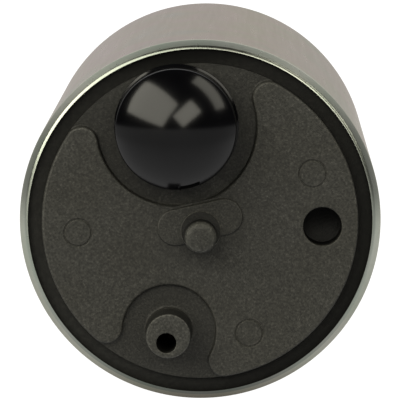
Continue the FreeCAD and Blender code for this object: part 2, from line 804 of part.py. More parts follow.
def make_slotted_disc(label, start, finish, radius):
    """Make a disc with the armature's slots: the core itself and its two end insulators."""
    body = new_body(label)
    turned(body, label + "_disc", tube_corners(BORE_OF_SHAFT, radius, start, finish))
    slot = block(body, label + "_slot", start + "-cut_over", finish + "+cut_over",
                 slot_corners("0", "core_radius+cut_over"), cut=True)
    polar(body, label + "_slots", [slot], "slot_count")


def make_winding():
    body = new_body("armature_winding")
    front = "(core_station-insulator_thickness-winding_gap)"
    back = "(%s+winding_gap)" % REAR_INSULATOR_END
    inner = "(slot_inner_radius-winding_gap)"
    outer = "(slot_outer_radius-winding_gap)"
    bulge = "winding_overhang/2"
    turned(body, "front_coil_ends", [
        (inner, front),
        (inner, front + "-" + bulge),
        (inner + "+" + bulge, front + "-winding_overhang"),
        (outer + "-" + bulge, front + "-winding_overhang"),
        (outer, front + "-" + bulge),
        (outer, front),
    ])
    bar = block(body, "slot_bar", front + "-sunk_root", back + "+sunk_root",
                slot_corners("winding_gap", ""))
    polar(body, "slot_bars", [bar], "slot_count")
    turned(body, "rear_coil_ends", [
        (inner, back),
        (outer, back),
        (outer, back + "+" + bulge),
        (outer + "-" + bulge, back + "+winding_overhang"),
        (inner + "+" + bulge, back + "+winding_overhang"),
        (inner, back + "+" + bulge),
    ])


def make_commutator():
    base = new_body("commutator_base")
    turned(base, "base_disc", [
        (BORE_OF_SHAFT, BASE_START),
        ("commutator_radius", BASE_START),
        ("commutator_radius", SEGMENT_START),
        ("segment_inner_radius-segment_gap/2", SEGMENT_START),
        ("segment_inner_radius-segment_gap/2", CONTACT_FACE + "-segment_stand"),
        (BORE_OF_SHAFT, CONTACT_FACE + "-segment_stand"),
    ])
    half = "(180/slot_count-asin(segment_gap/2/%s)/1deg)"
    inner_half = half % "segment_inner_radius"
    outer_half = half % "commutator_radius"
    for index in range(int(value("slot_count"))):
        label = "commutator_segment_%d" % (index + 1)
        body = doc.addObject("PartDesign::Body", label)
        finish_part(body, label, turn=index * 360.0 / value("slot_count"))
        block(body, "segment_%d" % (index + 1), SEGMENT_START, CONTACT_FACE, [
            on_circle("segment_inner_radius", "-" + inner_half),
            on_circle("commutator_radius", "-" + outer_half) + ("commutator_radius", 1),
            on_circle("commutator_radius", outer_half),
            on_circle("segment_inner_radius", inner_half) + ("segment_inner_radius", -1),
        ])


def make_magnets():
    outer = "(%s-fit_gap)" % MOTOR_BORE
    for label, turn in (("magnet_right", 0.0), ("magnet_left", 180.0)):
        body = doc.addObject("PartDesign::Body", label)
        finish_part(body, label, turn=turn)
        block(body, label + "_arc", "magnet_station", "magnet_station+magnet_length", [
            on_circle("magnet_inner_radius", "-magnet_half_angle"),
            on_circle(outer, "-magnet_half_angle") + (outer, 1),
            on_circle(outer, "0") + (outer, 1),
            on_circle(outer, "magnet_half_angle"),
            on_circle("magnet_inner_radius", "magnet_half_angle") + ("magnet_inner_radius", -1),
            on_circle("magnet_inner_radius", "0") + ("magnet_inner_radius", -1),
        ])


def make_magnet_clips():
    outer = "(%s-fit_gap)" % MOTOR_BORE
    inner = "(%s-clip_thickness)" % outer
    foot = "(%s-clip_leg)" % outer
    edge = "(magnet_half_angle+asin(fit_gap/%s)/1deg)" % foot
    leg = "(magnet_half_angle+asin((fit_gap+clip_thickness)/%s)/1deg)" % foot
    start = "magnet_station+clip_inset"
    finish = "magnet_station+magnet_length-clip_inset"
    for label, turn in (("magnet_clip_top", 0.0), ("magnet_clip_bottom", 180.0)):
        body = doc.addObject("PartDesign::Body", label)
        finish_part(body, label, turn=turn)
        block(body, label + "_strip", start, finish, [
            on_circle(foot, edge),
            on_circle(outer, edge) + (outer, 1),
            on_circle(outer, "180-" + edge),
            on_circle(foot, "180-" + edge),
            on_circle(foot, "180-" + leg),
            on_circle(inner, "180-" + leg) + (inner, -1),
            on_circle(inner, leg),
            on_circle(foot, leg),
        ])


def make_spring(label, x, z, coil_radius, start, finish, turns):
    """Wind a compression spring along the pump between the centres of its end turns."""
    length = value("(%s)-(%s)" % (finish, start))
    helix = Part.makeLongHelix(length / value(turns), length, value(coil_radius), 0.0)
    place = FreeCAD.Vector(value(coil_radius), 0, 0)
    wire = Part.Circle(place, FreeCAD.Vector(0, 1, 0), value("spring_wire"))
    feature = doc.addObject("Part::Feature", label)
    feature.Shape = Part.Wire(helix.Edges).makePipeShell([Part.Wire([wire.toShape()])], True, True)
    finish_part(feature, label, stand=(x, start, z))
    feature.Placement.Rotation = FreeCAD.Rotation(FreeCAD.Vector(1, 0, 0), -90)


def make_brushes():
    for label, sign in (("right", ""), ("left", "-")):
        body = new_body("brush_" + label)
        middle = sign + "brush_offset"
        block(body, "carbon_block_" + label, BRUSH_START, BRUSH_END,
              box_corners(middle, "0", "brush_width", "brush_height"))
        make_spring("brush_spring_" + label, middle, "", "brush_spring_radius",
                    BRUSH_END + "+spring_wire+brush_gap", GUIDE_END + "-spring_wire-brush_gap",
                    "brush_spring_turns")
        make_pigtail(label, sign)


def make_pigtail(label, sign):
    """Lead the brush's wire out of its guide and round to the choke beside it."""
    body = new_body("pigtail_" + label)
    bend = "(choke_x-brush_offset-choke_core_radius-lead_gap)"
    root = "(-(brush_height/2+lead_gap))"
    spine = new_sketch(body, "pigtail_path_" + label, "XZ_Plane", z="-pigtail_station")
    start = FreeCAD.Vector(value(sign + "brush_offset"), value(root), 0)
    turn = FreeCAD.Vector(start.x, value("-choke_z+" + bend), 0)
    end = FreeCAD.Vector(value("%s(brush_offset+%s)" % (sign or "+", bend)), value("-choke_z"), 0)
    side = 1 if end.x > start.x else -1
    straight = spine.addGeometry(Part.LineSegment(start, turn), False)
    curve = spine.addGeometry(arc_between(turn, end, value(bend), side), False)
    first, last = (1, 2) if side > 0 else (2, 1)
    spine.addConstraint(Sketcher.Constraint("Coincident", straight, 2, curve, first))
    pin(spine, straight, 1, sign + "brush_offset", root)
    pin(spine, straight, 2, sign + "brush_offset", "-choke_z+" + bend)
    pin(spine, curve, last, "%s(brush_offset+%s)" % (sign or "+", bend), "-choke_z")
    bind(spine, Sketcher.Constraint("Radius", curve, value(bend)), bend)
    section = new_sketch(body, "pigtail_section_" + label, "XY_Plane", z=root)
    draw_round(section, sign + "brush_offset", "pigtail_station", "pigtail_radius")
    doc.recompute()
    wire = body.newObject("PartDesign::AdditivePipe", "pigtail_wire_" + label)
    wire.Profile = section
    wire.Spine = (spine, ["Edge1", "Edge2"])


def make_outlet_cover():
    body = new_body("outlet_cover")
    turned(body, "cover_flange", [
        ("0", "outlet_step"),
        ("flange_radius", "outlet_step"),
        ("flange_radius", "seal_station-seal_groove_half_width"),
        ("groove_radius", "seal_station-seal_groove_half_width"),
        ("groove_radius", "seal_station+seal_groove_half_width"),
        ("flange_radius", "seal_station+seal_groove_half_width"),
        ("flange_radius", CRIMP),
        ("neck_radius", CRIMP),
        ("neck_radius", CAP_FACE + "-neck_edge", "neck_edge", 1),
        ("neck_radius-neck_edge", CAP_FACE),
        ("0", CAP_FACE),
    ])
    block(body, "bush_hub", "outlet_step+sunk_root", "hub_station", rounds=[("0", "0", "hub_radius")])
    guide_width = "(brush_width+2*brush_gap+2*guide_wall)"
    guide_height = "(brush_height+2*brush_gap+2*guide_wall)"
    for name, sign in (("right", ""), ("left", "-")):
        block(body, "brush_guide_" + name, "outlet_step+sunk_root", "hub_station",
              box_corners(sign + "brush_offset", "0", guide_width, guide_height))
    block(body, "outlet_boss", CAP_FACE + "-sunk_root", CAP_FACE + "+outlet_boss_height",
          rounds=[("0", "outlet_offset", "outlet_boss_radius")])
    base = "(%s+outlet_boss_height)" % CAP_FACE
    corners = [("0", base + "-sunk_root"), ("outlet_radius", base + "-sunk_root")]
    for index in range(int(value("barb_count"))):
        tip = "(%s-%d*barb_pitch)" % (OUTLET_TIP, value("barb_count") - 1 - index)
        corners += [
            ("outlet_radius", tip + "-barb_ramp-barb_land"),
            ("barb_radius", tip + "-barb_ramp-barb_land"),
            ("barb_radius", tip + "-barb_ramp"),
            ("outlet_radius-barb_step", tip),
        ]
        if index + 1 < int(value("barb_count")):
            corners.append(("outlet_radius", tip))
    corners.append(("0", OUTLET_TIP))
    turned(body, "hose_nipple", corners, z="outlet_offset")
    block(body, "socket_block", CAP_FACE + "-sunk_root", CAP_FACE + "+socket_depth",
          rounded_box("0", "-socket_offset", "socket_width", "socket_height", "socket_corner"))
    latch_top = "(%s+socket_depth-latch_setback)" % CAP_FACE
    block(body, "socket_latch", latch_top + "-latch_length", latch_top,
          box_corners("0", "-socket_offset-socket_height/2", "latch_width", "2*latch_stand"))
    block(body, "relief_collar", CAP_FACE + "-sunk_root", CAP_FACE + "+relief_collar_height",
          rounds=[("relief_x", "relief_z", "relief_radius+relief_collar_wall")])
    for name, sign in (("right", ""), ("left", "-")):
        block(body, "face_rib_" + name, CAP_FACE + "-sunk_root", CAP_FACE + "+rib_height",
              box_corners(sign + "rib_offset", "0", "rib_width", "rib_length"))
    inner_width = "(socket_width-2*socket_wall)"
    inner_height = "(socket_height-2*socket_wall)"
    block(body, "socket_cavity", CAP_FACE + "+socket_depth+cut_over", CAP_FACE + "+socket_floor",
          rounded_box("0", "-socket_offset", inner_width, inner_height, "(socket_corner/2)"), cut=True)
    block(body, "bush_bore", "hub_station-cut_over", "hub_station+rear_bush_length",
          rounds=[("0", "0", "bush_radius+fit_gap")], cut=True)
    block(body, "shaft_well", "hub_station-cut_over", "hub_station+rear_bush_length+shaft_well_depth",
          rounds=[("0", "0", "shaft_radius+shaft_well_gap")], cut=True)
    for name, sign in (("right", ""), ("left", "-")):
        middle = sign + "brush_offset"
        block(body, "brush_bore_" + name, "hub_station-cut_over", GUIDE_END,
              box_corners(middle, "0", "brush_width+2*brush_gap", "brush_height+2*brush_gap"), cut=True)
        slot = box_corners(middle, "-%s/2" % guide_height, "pigtail_slot_width", "pigtail_slot_height")
        block(body, "pigtail_slot_" + name, "hub_station-cut_over", "outlet_step", slot, cut=True)
        block(body, "blade_slot_" + name, "outlet_step-cut_over", CAP_FACE + "+socket_floor+cut_over",
              box_corners(sign + "blade_offset", "-socket_offset", "blade_width+2*fit_gap",
                          "blade_thickness+2*fit_gap"), cut=True)
        well = (sign + "choke_x", "-choke_z", "choke_coil_radius+choke_gap")
        block(body, "choke_well_" + name, "outlet_step-cut_over",
              "choke_station+choke_core_length+fit_gap", rounds=[well], cut=True)
    block(body, "valve_chamber", "outlet_step-cut_over", CAP_FACE,
          rounds=[("0", "outlet_offset", "valve_radius")], cut=True)
    block(body, "outlet_bore", CAP_FACE + "-cut_over", OUTLET_TIP + "+cut_over",
          rounds=[("0", "outlet_offset", "outlet_bore")], cut=True)
    block(body, "relief_hole", "outlet_step-cut_over", CAP_FACE,
          rounds=[("relief_x", "relief_z", "relief_hole")], cut=True)
    block(body, "relief_well", CAP_FACE + "+cut_over", "outlet_step+relief_seat_depth",
          rounds=[("relief_x", "relief_z", "relief_radius")], cut=True)


def make_outlet_seal():
    ring = doc.addObject("Part::Torus", "outlet_seal_ring")
    ring.setExpression("Radius1", bound("flange_radius-seal_section"))
    ring.setExpression("Radius2", bound("seal_section"))
    finish_part(ring, "outlet_seal_ring", stand=("", "seal_station", ""))
    ring.Placement.Rotation = FreeCAD.Rotation(FreeCAD.Vector(1, 0, 0), -90)


def make_check_valve():
    seat = new_body("check_valve_seat")
    seat_top = "(outlet_step+valve_seat_length)"
    turned(seat, "seat_sleeve", [
        ("valve_seat_bore", "outlet_step"),
        ("valve_radius-fit_gap", "outlet_step"),
        ("valve_radius-fit_gap", seat_top),
        ("valve_seat_bore+valve_seat_chamfer", seat_top),
        ("valve_seat_bore", seat_top + "-valve_seat_chamfer"),
    ], z="outlet_offset")
    poppet = new_body("check_valve_poppet")
    head = "(%s+fit_gap)" % seat_top
    turned(poppet, "poppet_head", [
        ("0", head + "-valve_cone_length"),
        ("valve_seat_bore-valve_cone_step", head + "-valve_cone_length"),
        ("valve_seat_bore+valve_seat_chamfer", head),
        ("valve_head_radius", head),
        ("valve_head_radius", head + "+valve_head_length"),
        ("valve_stem_radius", head + "+valve_head_length"),
        ("valve_stem_radius", head + "+valve_head_length+valve_stem_length"),
        ("0", head + "+valve_head_length+valve_stem_length"),
    ], z="outlet_offset")
    spring_start = "(%s+valve_head_length+spring_wire+fit_gap)" % head
    make_spring("check_valve_spring", "", "outlet_offset", "valve_spring_radius", spring_start,
                CAP_FACE + "-spring_wire-fit_gap", "valve_spring_turns")


def make_relief_valve():
    seat = "(outlet_step+relief_seat_depth)"
    ball_station = "(%s+sqrt(relief_ball_radius^2-relief_hole^2)+fit_gap)" % seat
    ball = doc.addObject("Part::Sphere", "relief_ball")
    ball.setExpression("Radius", bound("relief_ball_radius"))
    finish_part(ball, "relief_ball", stand=("relief_x", ball_station, "relief_z"))
    plug_start = "(%s-relief_plug_length)" % CAP_FACE
    reach = "(relief_ball_radius+spring_wire+fit_gap)"
    spring_start = "(%s+sqrt(%s^2-relief_spring_radius^2))" % (ball_station, reach)
    make_spring("relief_spring", "relief_x", "relief_z", "relief_spring_radius", spring_start,
                plug_start + "-spring_wire-fit_gap", "relief_spring_turns")
    plug = new_body("relief_plug")
    section = tube_corners("relief_plug_bore", "relief_radius-fit_gap", plug_start, CAP_FACE)
    turned(plug, "plug_ring", section, x="relief_x", z="relief_z")


def make_electrical_parts():
    for label, sign in (("right", ""), ("left", "-")):
        blade = new_body("terminal_" + label)
        middle = sign + "blade_offset"
        tip = CAP_FACE + "+socket_depth-blade_tip_below_rim"
        block(blade, "blade_" + label, "blade_inner_station", tip,
              box_corners(middle, "-socket_offset", "blade_width", "blade_thickness"))
        core = new_body("choke_core_" + label)
        core_end = "choke_station+choke_core_length"
        turned(core, "ferrite_rod_" + label, rod_corners("choke_core_radius", "choke_station", core_end),
               x=sign + "choke_x", z="-choke_z")
        coil = new_body("choke_coil_" + label)
        coil_start = "(choke_station+choke_end)"
        sleeve = tube_corners("choke_core_radius+fit_gap", "choke_coil_radius", coil_start,
                              coil_start + "+choke_coil_length")
        turned(coil, "coil_sleeve_" + label, sleeve, x=sign + "choke_x", z="-choke_z")
        make_choke_lead(label, sign)


def make_choke_lead(label, sign):
    """Join the choke to its terminal with a flat tinned strip."""
    body = new_body("choke_lead_" + label)
    run_x = "(choke_x-blade_offset-blade_width/2)"
    run_z = "(socket_offset-choke_z)"
    run = "sqrt(%s^2+%s^2)" % (run_x, run_z)
    near = "(lead_gap/%s)" % run
    far = "(1-(choke_coil_radius+lead_gap)/%s)" % run
    across_x = "choke_lead_width/2*%s/%s" % (run_z, run)
    across_z = "choke_lead_width/2*%s/%s" % (run_x, run)
    corners = []
    for share, down, up in ((near, "-", "+"), (far, "-", "+"), (far, "+", "-"), (near, "+", "-")):
        x = "(choke_x-%s*(1-%s)%s%s)" % (run_x, share, down, across_x)
        z = "(-socket_offset+%s*%s%s%s)" % (run_z, share, up, across_z)
        corners.append((sign + x, z))
    block(body, "lead_strip_" + label, "choke_lead_station",
          "choke_lead_station+choke_lead_thickness", corners)


def check_model():
    """Stop when any object failed to build or a piece isn't one sound solid."""
    for item in doc.Objects:
        if "Invalid" in item.State or "Error" in item.State:
            raise RuntimeError("%s failed: %s" % (item.Name, item.State))
    for piece in parts:
        if piece.Shape.isNull() or not piece.Shape.isValid():
            raise RuntimeError("%s has no sound shape" % piece.Label)
        if len(piece.Shape.Solids) != 1:
            raise RuntimeError("%s has %d solids" % (piece.Label, len(piece.Shape.Solids)))


make_case()
make_seal_ring()
make_inlet_cover()
make_inlet_cap()
make_thrust_button()
make_impeller()
make_pump_body()
make_bushes()
make_shaft()
make_thrust_washer()
make_slotted_disc("armature_core", "core_station", CORE_END, "core_radius")
make_slotted_disc("front_insulator", "core_station-insulator_thickness", "core_station", INSULATOR_RADIUS)
make_slotted_disc("rear_insulator", CORE_END, REAR_INSULATOR_END, INSULATOR_RADIUS)
make_winding()
make_commutator()
make_magnets()
make_magnet_clips()
make_brushes()
make_outlet_cover()
make_outlet_seal()
make_check_valve()
make_relief_valve()
make_electrical_parts()
doc.recompute()
check_model()

os.makedirs("parts", exist_ok=True)
for piece in parts:
    piece.Shape.exportStep("parts/%s.step" % piece.Label)
    box = piece.Shape.BoundBox
    print("%-22s %9.1f mm3   y %7.2f to %7.2f" % (piece.Label, piece.Shape.Volume, box.YMin, box.YMax))
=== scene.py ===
# %% [markdown]
# # A fuel pump from its inlet end
# The CAD model already holds every piece of this pump at its true size, so it is the frame
# that the looks are built on. It is loaded first, before anything is added. The
# pump's axis lies along Y with the inlet end towards -Y, and the origin is on that axis at the
# middle of the steel case.

# %% Load the CAD model
import json
import math

import bpy
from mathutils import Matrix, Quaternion, Vector

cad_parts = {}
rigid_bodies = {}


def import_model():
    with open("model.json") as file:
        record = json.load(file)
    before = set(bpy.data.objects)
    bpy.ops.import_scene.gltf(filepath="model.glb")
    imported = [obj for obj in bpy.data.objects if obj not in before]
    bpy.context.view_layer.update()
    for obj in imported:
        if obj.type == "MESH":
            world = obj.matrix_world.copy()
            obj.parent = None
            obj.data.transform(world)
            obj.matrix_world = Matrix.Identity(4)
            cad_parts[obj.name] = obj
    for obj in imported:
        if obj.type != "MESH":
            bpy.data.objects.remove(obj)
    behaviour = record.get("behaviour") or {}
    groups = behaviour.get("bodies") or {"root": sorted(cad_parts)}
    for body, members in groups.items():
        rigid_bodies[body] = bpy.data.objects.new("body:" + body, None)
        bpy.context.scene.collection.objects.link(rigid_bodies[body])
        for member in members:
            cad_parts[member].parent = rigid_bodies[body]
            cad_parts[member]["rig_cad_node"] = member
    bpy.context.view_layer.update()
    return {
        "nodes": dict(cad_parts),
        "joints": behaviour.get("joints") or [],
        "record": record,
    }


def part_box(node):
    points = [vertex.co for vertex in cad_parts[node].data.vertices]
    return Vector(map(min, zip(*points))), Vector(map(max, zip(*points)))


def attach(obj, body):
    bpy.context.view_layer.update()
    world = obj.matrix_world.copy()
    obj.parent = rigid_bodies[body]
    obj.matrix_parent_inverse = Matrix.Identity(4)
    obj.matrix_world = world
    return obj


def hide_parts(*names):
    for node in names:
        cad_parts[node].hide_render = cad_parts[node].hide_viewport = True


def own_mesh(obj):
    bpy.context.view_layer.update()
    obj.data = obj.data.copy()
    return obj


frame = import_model()
nodes = frame["nodes"]
bpy.ops.object.select_all(action="DESELECT")

# %% [markdown]
# ## Measuring along the pump
# The drawings of the pump give each height as a station: its distance from the rim of the case
# at the inlet end. A small function turns a station in millimetres into the scene's Y in metres,
# so the numbers in the cells below can be read like the ones on a drawing.

# %% Units and stations
MM = 0.001
CASE_LENGTH = 65.0
WELD = 1e-6


def at(station):
    return (station - CASE_LENGTH / 2) * MM


def polar(radius, angle, centre=(0.0, 0.0)):
    return (centre[0] + radius * math.cos(math.radians(angle)),
            centre[1] + radius * math.sin(math.radians(angle)))


def arc(centre, radius, first, last, count):
    step = (last - first) / count
    return [polar(radius, first + step * index, centre) for index in range(count + 1)]


print("the rim stands at y =", round(at(0), 4), "and the far end of the case at", round(at(CASE_LENGTH), 4))

# %% [markdown]
# ## Drawing a line with the extrude tool
# Most of this pump was turned, drawn or moulded round an axis. By hand one would place a single
# vertex and extrude it from corner to corner. The same is done here: a small plane is merged to
# one vertex, moved to the first corner, and extruded to each next one. The object's origin stays
# at the scene's origin, because every finished piece keeps its place in its mesh.


# %% Draw a chain of corners
def draw_chain(name, corners):
    bpy.ops.object.select_all(action="DESELECT")
    bpy.ops.mesh.primitive_plane_add(size=MM)
    piece = bpy.context.object
    piece.name = name
    bpy.ops.object.mode_set(mode="EDIT")
    bpy.ops.mesh.merge(type="CENTER")
    bpy.ops.transform.translate(value=corners[0])
    for here, there in zip(corners, corners[1:]):
        step = Vector(there) - Vector(here)
        bpy.ops.mesh.extrude_region_move(TRANSFORM_OT_translate={"value": step})
    bpy.ops.mesh.select_all(action="SELECT")
    return piece


def close_edit():
    bpy.ops.mesh.select_all(action="SELECT")
    bpy.ops.mesh.remove_doubles(threshold=WELD)
    bpy.ops.mesh.delete_loose(use_faces=False)
    bpy.ops.mesh.select_all(action="SELECT")
    bpy.ops.mesh.normals_make_consistent(inside=False)
    bpy.ops.object.mode_set(mode="OBJECT")
    bpy.ops.object.select_all(action="DESELECT")


print("lines can be drawn from corner to corner")

# %% [markdown]
# ## Turning and raising
# Two ways of making a body from a drawn line cover nearly all of the pump. A half section is spun
# round an axis, as on a lathe, and an end view is filled and pulled along the pump. Spin needs no
# window, and it works in true coordinates, so the axis can be that of the pump or of one nipple.
# An end view can also be pulled in many small steps, each inset a little, which rounds its edges.


# %% Spin a half section, or pull an outline
def turn_piece(name, section, centre=(0.0, 0.0), steps=192, closed=True):
    x, z = centre
    corners = [((x + radius) * MM, at(station), z * MM) for radius, station in section]
    if closed:
        corners.append(corners[0])
    piece = draw_chain(name, corners)
    bpy.ops.mesh.spin(steps=steps, angle=math.tau, center=(x * MM, 0, z * MM), axis=(0, 1, 0))
    close_edit()
    return piece


def raise_rounded(name, outline, levels):
    station, inset = levels[0]
    piece = draw_chain(name, [(x * MM, at(station), z * MM) for x, z in outline])
    bpy.ops.mesh.edge_face_add()
    for next_station, next_inset in levels[1:]:
        if next_inset == inset:
            bpy.ops.mesh.extrude_region()
        else:
            bpy.ops.mesh.inset(thickness=(next_inset - inset) * MM, use_even_offset=True)
        bpy.ops.transform.translate(value=(0, (next_station - station) * MM, 0))
        station, inset = next_station, next_inset
    close_edit()
    return piece


def raise_piece(name, outline, start, finish):
    piece = draw_chain(name, [(x * MM, at(start), z * MM) for x, z in outline])
    bpy.ops.mesh.edge_face_add()
    bpy.ops.mesh.extrude_region_move(TRANSFORM_OT_translate={"value": (0, (finish - start) * MM, 0)})
    close_edit()
    return piece


print("half sections can be spun and outlines raised")

# %% [markdown]
# ## Joining, cutting and softening
# A casting is one body with bosses on it and pockets in it. Booleans suit that, because each boss
# and pocket is drawn by itself and can be moved without touching the others. A bevel breaks the
# sharp edges of a plain piece. On a body that booleans have cut it can leave spikes, so there the
# rounds are drawn on the tools before they cut.


# %% Modifier helpers
def apply_modifier(piece, kind, **settings):
    bpy.context.view_layer.objects.active = piece
    bpy.ops.object.modifier_add(type=kind)
    modifier = piece.modifiers[-1]
    for key, setting in settings.items():
        setattr(modifier, key, setting)
    bpy.ops.object.modifier_apply(modifier=modifier.name)


def combine(piece, tool, operation):
    apply_modifier(piece, "BOOLEAN", object=tool, operation=operation, solver="EXACT")
    bpy.data.objects.remove(tool)


def soften(piece, width, segments=3, angle=50.0):
    apply_modifier(piece, "BEVEL", width=width * MM, segments=segments, limit_method="ANGLE",
                   angle_limit=math.radians(angle), use_clamp_overlap=False)


def shade(piece, smooth):
    bpy.ops.object.select_all(action="DESELECT")
    piece.select_set(True)
    bpy.context.view_layer.objects.active = piece
    bpy.ops.object.shade_smooth_by_angle(angle=math.radians(smooth))
    apply_modifier(piece, "WEIGHTED_NORMAL", mode="FACE_AREA", keep_sharp=True)
    piece.select_set(False)


def finish_piece(piece, body, *stands_for, smooth=32.0):
    shade(piece, smooth)
    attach(piece, body)
    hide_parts(*stands_for)
    print(piece.name, "has", len(piece.data.polygons), "faces")


print("pieces can be joined, cut, softened, shaded and finished")

# %% [markdown]
# ## The steel case
# The case is a tube drawn from sheet, zinc plated, with a thin skirt rolled inwards at each end.
# At the inlet end the roller leaves a slanted band round the pump, and the rounded lip in front of
# the band shines as a thin bright line. The CAD mesh has flat facets and sharp corners there, so
# the section is drawn again with the lip and the band's far corner as arcs, in small steps.

# %% Case section
CASE_RADIUS = 19.0
LIP_RADIUS = 18.1
LIP_FACE = 0.2
ROLL_HEIGHT = 1.2
SKIRT_BORE = 18.25
MOTOR_BORE = 17.6
CRIMP_RADIUS = 17.2
CRIMP_ROLL = 1.2
LIP_BACK = 0.25
INLET_SKIRT = 14.0
OUTLET_SKIRT = 56.0
CRIMP_BACK = 63.35

LIP_CORNER = 0.5
BAND_CORNER = 0.5

band_slant = math.degrees(math.atan2(CASE_RADIUS - LIP_RADIUS - LIP_FACE, ROLL_HEIGHT))
lip_reach = LIP_CORNER * math.tan(math.radians((90 - band_slant) / 2))
band_reach = BAND_CORNER * math.tan(math.radians(band_slant / 2))
lip_centre = (LIP_RADIUS + LIP_FACE - lip_reach, LIP_CORNER)
lip_start = -math.degrees(math.acos((LIP_RADIUS - lip_centre[0]) / LIP_CORNER))
lip_corner = arc(lip_centre, LIP_CORNER, lip_start, -band_slant, 8)
band_corner = arc((CASE_RADIUS - BAND_CORNER, ROLL_HEIGHT + band_reach), BAND_CORNER, -band_slant, 0, 6)
outlet_roll = arc((CASE_RADIUS - CRIMP_ROLL, CASE_LENGTH - CRIMP_ROLL), CRIMP_ROLL, 0, 90, 8)
case_section = [(LIP_RADIUS, LIP_BACK)] + lip_corner + band_corner
case_section += [(CASE_RADIUS, station) for station in (6.0, 20.0, 40.0, OUTLET_SKIRT)]
case_section += outlet_roll
case_section += [(CRIMP_RADIUS, CASE_LENGTH), (CRIMP_RADIUS, CRIMP_BACK), (SKIRT_BORE, CRIMP_BACK),
                 (SKIRT_BORE, OUTLET_SKIRT), (MOTOR_BORE, OUTLET_SKIRT), (MOTOR_BORE, INLET_SKIRT),
                 (SKIRT_BORE, INLET_SKIRT), (SKIRT_BORE, LIP_BACK)]
case = turn_piece("case_tube", case_section, steps=256)
finish_piece(case, "housing", "motor_case", smooth=28.0)

# %% [markdown]
# ## The rubber ring
# A moulded rubber ring fills the groove between the rim and the face of the cover. Its front is
# slightly crowned, since the crimp presses it, and its back rests on the cover's shoulder. It is
# turned like the case, with the crown as an arc in the section.

# %% Seal ring
FACE_RADIUS = 16.6
SHOULDER = 1.6
RING_PLAY = 0.005
RING_INNER = FACE_RADIUS + RING_PLAY
RING_OUTER = SKIRT_BORE - RING_PLAY
RING_CROWN = 0.06
RING_RECESS = 0.5

half_width = (RING_OUTER - RING_INNER) / 2
crown_radius = (half_width ** 2 + RING_CROWN ** 2) / (2 * RING_CROWN)
crown_span = math.degrees(math.asin(half_width / crown_radius))
crown = arc((RING_INNER + half_width, RING_RECESS + crown_radius), crown_radius,
            270 - crown_span, 270 + crown_span, 12)
ring = turn_piece("rubber_ring", crown + [(RING_OUTER, SHOULDER), (RING_INNER, SHOULDER)], steps=256)
finish_piece(ring, "housing", "inlet_seal_ring")

# %% [markdown]
# ## The inlet cover: its disc
# The cover is one die casting. It starts as a turned disc: a face that stands 1 mm out of the
# rim and has a round edge, a shoulder under the rubber ring, and a flange that fills the case, with
# a small pocket for the thrust button in its back.

# %% Cover disc
FACE = -1.0
FLANGE_RADIUS = 18.2
COVER_DEPTH = 6.0
BUTTON_RADIUS = 2.6
BUTTON_STATION = 3.4
EDGE_ROUND = 0.3

cover_section = [(0.0, FACE)] + arc((FACE_RADIUS - EDGE_ROUND, FACE + EDGE_ROUND), EDGE_ROUND, -90, 0, 6)
cover_section += [(FACE_RADIUS, SHOULDER), (FLANGE_RADIUS, SHOULDER), (FLANGE_RADIUS, COVER_DEPTH),
                  (BUTTON_RADIUS, COVER_DEPTH), (BUTTON_RADIUS, BUTTON_STATION), (0.0, BUTTON_STATION)]
cover = turn_piece("cast_cover", cover_section, closed=False)
print("the cover's disc has", len(cover.data.polygons), "faces")

# %% [markdown]
# ## The two open recesses
# Round the inlet nipple and the vent spout the face is sunk by less than a millimetre. Each recess
# is a circle that runs out over the face's edge, where it leaves two rounded horns. One could cut
# a plain circle and try to round the horns afterwards. It is cleaner to work the outline out: the
# horn's circle touches both the recess and the face's edge, so its centre follows from a triangle.
# The outline leaves the horn a little before they touch, because a boolean makes slivers there,
# and runs on straight until it is well outside. The tool starts wider than the recess and narrows
# along an arc, so it leaves a rounded edge, and its own lower edge is rounded, so it leaves a
# rounded foot.


# %% Recess outline
HORN_RADIUS = 1.7
HORN_STOP = 12.0
RUN_OUT = 2.0
OUTSIDE = FACE_RADIUS + 3.0


def bearing(start, finish):
    return math.degrees(math.atan2(finish[1] - start[1], finish[0] - start[0]))


def recess_outline(offset, angle, radius, allowance):
    centre = polar(offset, angle)
    reach = FACE_RADIUS - HORN_RADIUS
    span = radius + HORN_RADIUS
    spread = math.degrees(math.acos((offset ** 2 + reach ** 2 - span ** 2) / (2 * offset * reach)))
    far_angle, near_angle = angle + spread, angle - spread
    far_horn, near_horn = polar(reach, far_angle), polar(reach, near_angle)
    first = bearing(centre, far_horn) % 360
    last = bearing(centre, near_horn) % 360
    last += 360 if last < first else 0
    horn = HORN_RADIUS - allowance
    outline = arc(centre, radius + allowance, first, last, 60)
    turn = (bearing(near_horn, centre) - near_angle) % 360
    outline += arc(near_horn, horn, near_angle + turn, near_angle + HORN_STOP, 12)[1:]
    outline.append(polar(RUN_OUT, near_angle + HORN_STOP - 90, outline[-1]))
    turn = (far_angle - bearing(far_horn, centre)) % 360
    far_side = arc(far_horn, horn, far_angle - HORN_STOP, far_angle - turn, 12)[:-1]
    far_side.insert(0, polar(RUN_OUT, far_angle - HORN_STOP + 90, far_side[0]))
    near_out = bearing((0.0, 0.0), outline[-1]) % 360
    far_out = bearing((0.0, 0.0), far_side[0]) % 360
    outline += arc((0.0, 0.0), OUTSIDE, near_out, far_out, 24)
    return outline + far_side


print("the recesses end in horns of", HORN_RADIUS, "mm in radius")

# %% Cut the recesses
INLET_OFFSET = 10.35
INLET_ANGLE = 103.7
INLET_CENTRE = polar(INLET_OFFSET, INLET_ANGLE)
INLET_RECESS = 8.4
INLET_FLOOR = FACE + 0.85
VENT_OFFSET = 12.02
VENT_ANGLE = 254.3
VENT_CENTRE = polar(VENT_OFFSET, VENT_ANGLE)
VENT_RECESS = 4.9
VENT_FLOOR = FACE + 0.7
ABOVE = FACE - 1.4
FOOT_ROUND = 0.2
MOUTH = 0.15
MOUTH_LEAD = 0.03


